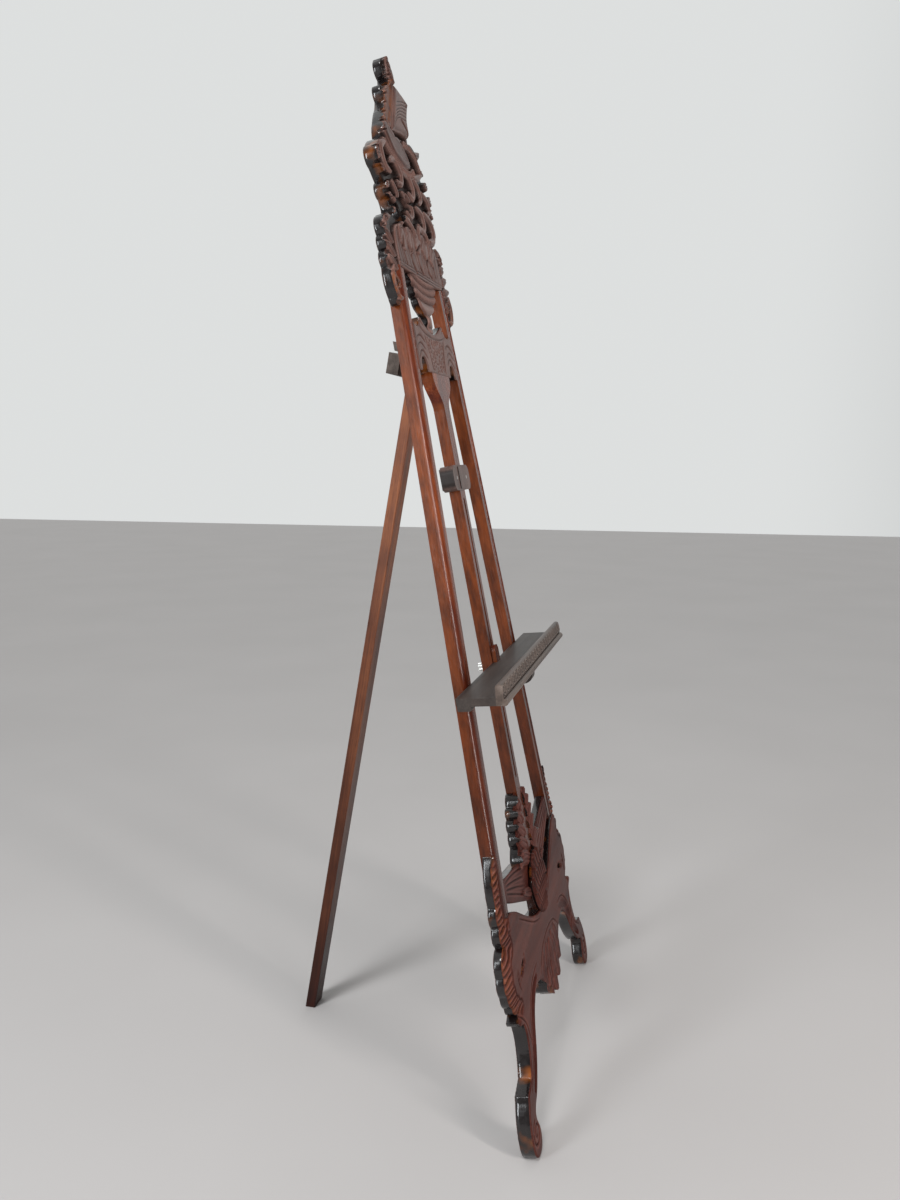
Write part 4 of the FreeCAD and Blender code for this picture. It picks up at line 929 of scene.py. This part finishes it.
def panel_relief(surface):
    surface.edge_round(2.5)
    # painted highlight over the whole panel and round each pit, with painted shade in the pit
    surface.painted_highlight += 0.35
    generator = np.random.default_rng(7)
    for _ in range(170):
        x, z = generator.uniform(-62, 66), generator.uniform(1428, 1492)
        if abs(x) > 40 + 0.36 * (z - 1428):
            continue
        gap = (surface.x - x) ** 2 + (surface.z - z) ** 2
        surface.height -= 1.8 * np.exp(-gap / 5.5)
        surface.dark = np.maximum(surface.dark, 0.8 * np.exp(-gap / 4.0))
        surface.painted_highlight = np.maximum(surface.painted_highlight, 0.9 * np.exp(-((np.sqrt(gap) - 3.4) / 0.9) ** 2))
    surface.groove([(-96, 1510), (-60, 1499), (0, 1494), (60, 1499), (96, 1510)], 1.8, 2.8)
    surface.groove([(-66, 1494), (-52, 1460), (-44, 1428)], 1.6, 2.4)
    surface.groove([(66, 1494), (52, 1460), (44, 1428)], 1.6, 2.4)
    for side in BOTH:
        surface.groove(sided([(72, 1480), (100, 1491), (132, 1478)], side), 1.8, 3.2)
        surface.groove(sided([(78, 1466), (104, 1476), (134, 1462)], side), 1.6, 2.8)
        surface.groove(sided([(72, 1448), (100, 1462), (128, 1446)], side), 1.8, 3.2)
        surface.groove(sided([(64, 1512), (84, 1520), (110, 1510)], side), 1.6, 2.4)


carve("panel_carving", ["shield_panel"], panel_relief, crest_wood, cell=1.5)

# ---------------------------------------------------------------- shelf lip


def end_ring(node):
    """The profile of a node that runs across, as an ordered ring of (y, z) in metres."""
    item = frame["nodes"][node]
    low = min(vertex.co.x for vertex in item.data.vertices)
    seen = {}
    for face in item.data.polygons:
        corners = [item.data.vertices[index].co for index in face.vertices]
        if max(corner.x for corner in corners) > low + 0.00005:
            continue
        keys = [(round(corner.y, 6), round(corner.z, 6)) for corner in corners]
        for start, stop in zip(keys, keys[1:] + keys[:1]):
            if (stop, start) in seen:
                del seen[(stop, start)]
            else:
                seen[(start, stop)] = True
    follow = dict(seen.keys())
    ring = [next(iter(follow))]
    while follow[ring[-1]] != ring[0]:
        ring.append(follow[ring[-1]])
    return np.array(ring)


def lip_carving():
    """The lip's sloped face, cut with overlapping curved strokes that repeat along it."""
    ring = end_ring("shelf_lip")
    closed = np.concatenate([ring, ring[:1]])
    steps = []
    for start, stop in zip(closed, closed[1:]):
        pieces = max(1, int(np.linalg.norm(stop - start) / 0.0012))
        steps.extend(start + (stop - start) * index / pieces for index in range(pieces))
    profile = np.array(steps)
    before, after = np.roll(profile, 1, 0), np.roll(profile, -1, 0)
    run = after - before
    normal = np.stack([run[:, 1], -run[:, 0]], 1)
    normal /= np.maximum(np.linalg.norm(normal, axis=1, keepdims=True), 1e-9)
    if ((profile - profile.mean(0)) * normal).sum() < 0:
        normal = -normal
    low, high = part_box("shelf_lip")
    stations = np.arange(low.x, high.x + 0.0001, 0.0012)
    stations[-1] = high.x
    facing = (normal[:, 0] < -0.55) & (normal[:, 1] > 0.05) & (profile[:, 1] > low.z + 0.0155)
    level = (profile[:, 1] - low.z) / MM
    top_level = (high.z - low.z) / MM
    grid_x, grid_level = np.meshgrid(stations / MM, level, indexing="ij")
    face = np.broadcast_to(facing, grid_x.shape)
    pitch = 27.0
    phase = (grid_x / pitch) % 1.0
    middle = 0.5 * (16.0 + top_level)
    reach = np.hypot((phase - 0.5) * pitch * 0.75, grid_level - middle + 9 * (phase - 0.5))
    strokes = np.clip(np.cos(2 * math.pi * reach / 5.2), 0, 1)
    border = np.clip(np.minimum(grid_level - 15.5, top_level - 1.5 - grid_level) / 2.0, 0, 1)
    depth = 0.0016 * strokes * face * border
    incised = np.exp(-((grid_level - 15.2) / 0.8) ** 2) * (normal[:, 0] < -0.2)
    depth = depth + 0.0013 * incised
    # painted shade in the strokes and the incised line, painted highlight on the ridges between strokes
    dark = np.clip(0.9 * strokes * face * border + 0.95 * incised, 0, 1)
    ridge_highlight = np.clip(-np.cos(2 * math.pi * reach / 5.2), 0, 1) ** 2 * face * border
    points = np.empty((len(stations), len(profile), 3))
    points[..., 0] = stations[:, None]
    points[..., 1] = profile[None, :, 0] - normal[None, :, 0] * depth
    points[..., 2] = profile[None, :, 1] - normal[None, :, 1] * depth
    around = len(profile)
    faces = []
    for station in range(len(stations) - 1):
        for index in range(around):
            following = (index + 1) % around
            low_row, high_row = station * around, (station + 1) * around
            faces.append((low_row + index, low_row + following, high_row + following, high_row + index))
    faces.append(tuple(range(around)))
    last = (len(stations) - 1) * around
    faces.append(tuple(reversed(range(last, last + around))))
    mesh = bpy.data.meshes.new("lip_carving")
    mesh.from_pydata(points.reshape(-1, 3).tolist(), [], faces)
    mesh.update()
    for label, values in (("carve", dark.ravel()), ("painted_highlight", ridge_highlight.ravel())):
        attribute = mesh.attributes.new(label, "FLOAT", "POINT")
        attribute.data.foreach_set("value", values.astype(np.float32))
    add_piece(mesh, "lip_carving", ["shelf_lip"], (lip_wood,), "shelf")


lip_carving()

# ---------------------------------------------------------------- stage, light and camera

FLOOR_REACH = 14.0
CAMERA_LENS = 28.375
SENSOR_WIDTH = 36.0
CAMERA_LEFT = 1.8545
CAMERA_AHEAD_OF_TOE = 0.2405
CAMERA_HEIGHT = 1.2376
CAMERA_PITCH_DOWN = 0.15144
CAMERA_HEADING = -1.30907


def add_floor():
    mesh = bpy.data.meshes.new("floor")
    reach = FLOOR_REACH
    mesh.from_pydata([(-reach, -reach, 0), (reach, -reach, 0), (reach, reach, 0), (-reach, reach, 0)], [],
                     [(0, 1, 2, 3)])
    item = bpy.data.objects.new("floor", mesh)
    bpy.context.scene.collection.objects.link(item)
    mesh.materials.append(floor_material())


def add_area(name, place, target, size, power, colour=(1, 1, 1)):
    lamp = bpy.data.lights.new(name, "AREA")
    lamp.shape = "RECTANGLE"
    lamp.size, lamp.size_y = size
    lamp.energy = power
    lamp.color = colour
    item = bpy.data.objects.new(name, lamp)
    item.location = place
    item.rotation_euler = (Vector(target) - Vector(place)).to_track_quat("-Z", "Y").to_euler()
    bpy.context.scene.collection.objects.link(item)


def add_sun(toward, strength, spread):
    """A far soft light that falls alike on the whole floor."""
    lamp = bpy.data.lights.new("daylight", "SUN")
    lamp.energy = strength
    lamp.angle = math.radians(spread)
    item = bpy.data.objects.new("daylight", lamp)
    item.rotation_euler = Vector(toward).to_track_quat("Z", "Y").to_euler()
    bpy.context.scene.collection.objects.link(item)


def add_world():
    """A soft room: pale behind the easel, dimmer in front of it and to its left."""
    world = bpy.data.worlds.new("studio")
    world.use_nodes = True
    tree = world.node_tree
    place = tree.nodes.new("ShaderNodeTexCoord")
    split = tree.nodes.new("ShaderNodeSeparateXYZ")
    tree.links.new(place.outputs["Generated"], split.inputs["Vector"])
    product = tree.nodes.new("ShaderNodeMath")
    product.operation = "MULTIPLY"
    ramps = (("Y", -0.60, -0.05, 0.25, 0.74), ("X", -0.75, 0.15, 0.30, 1.0))
    for index, (axis, start, end, dim, full) in enumerate(ramps):
        span = tree.nodes.new("ShaderNodeMapRange")
        span.interpolation_type = "SMOOTHSTEP"
        span.inputs["From Min"].default_value = start
        span.inputs["From Max"].default_value = end
        span.inputs["To Min"].default_value = dim
        span.inputs["To Max"].default_value = full
        tree.links.new(split.outputs[axis], span.inputs["Value"])
        tree.links.new(span.outputs["Result"], product.inputs[index])
    background = tree.nodes["Background"]
    background.inputs["Color"].default_value = (0.98, 1.0, 0.995, 1)
    tree.links.new(product.outputs["Value"], background.inputs["Strength"])
    bpy.context.scene.world = world


def add_camera():
    """Stands to the easel's left at about chest height and looks slightly down."""
    camera = bpy.data.cameras.new("camera")
    camera.lens = CAMERA_LENS
    camera.sensor_width = SENSOR_WIDTH
    item = bpy.data.objects.new("camera", camera)
    item.location = (-CAMERA_LEFT, TOE[1] - CAMERA_AHEAD_OF_TOE, CAMERA_HEIGHT)
    item.rotation_euler = (math.pi / 2 - CAMERA_PITCH_DOWN, 0.0, CAMERA_HEADING)
    bpy.context.scene.collection.objects.link(item)
    bpy.context.scene.camera = item


add_floor()
add_world()
add_area("window", (-2.9, 1.7, 1.7), (0, 0, 1.0), (0.7, 2.2), 75, (0.93, 0.97, 1.0))
add_area("front_fill", (-2.4, -3.0, 2.6), (0, 0, 1.0), (1.4, 1.4), 26)
add_area("strip", (-1.5, -2.7, 1.5), (-0.2, -0.1, 1.1), (0.22, 2.4), 55, (1.0, 0.95, 0.92))
add_sun((-1.3, 0.3, 2.4), 1.35, 16)
add_camera()
bpy.context.scene.view_settings.view_transform = "Standard"
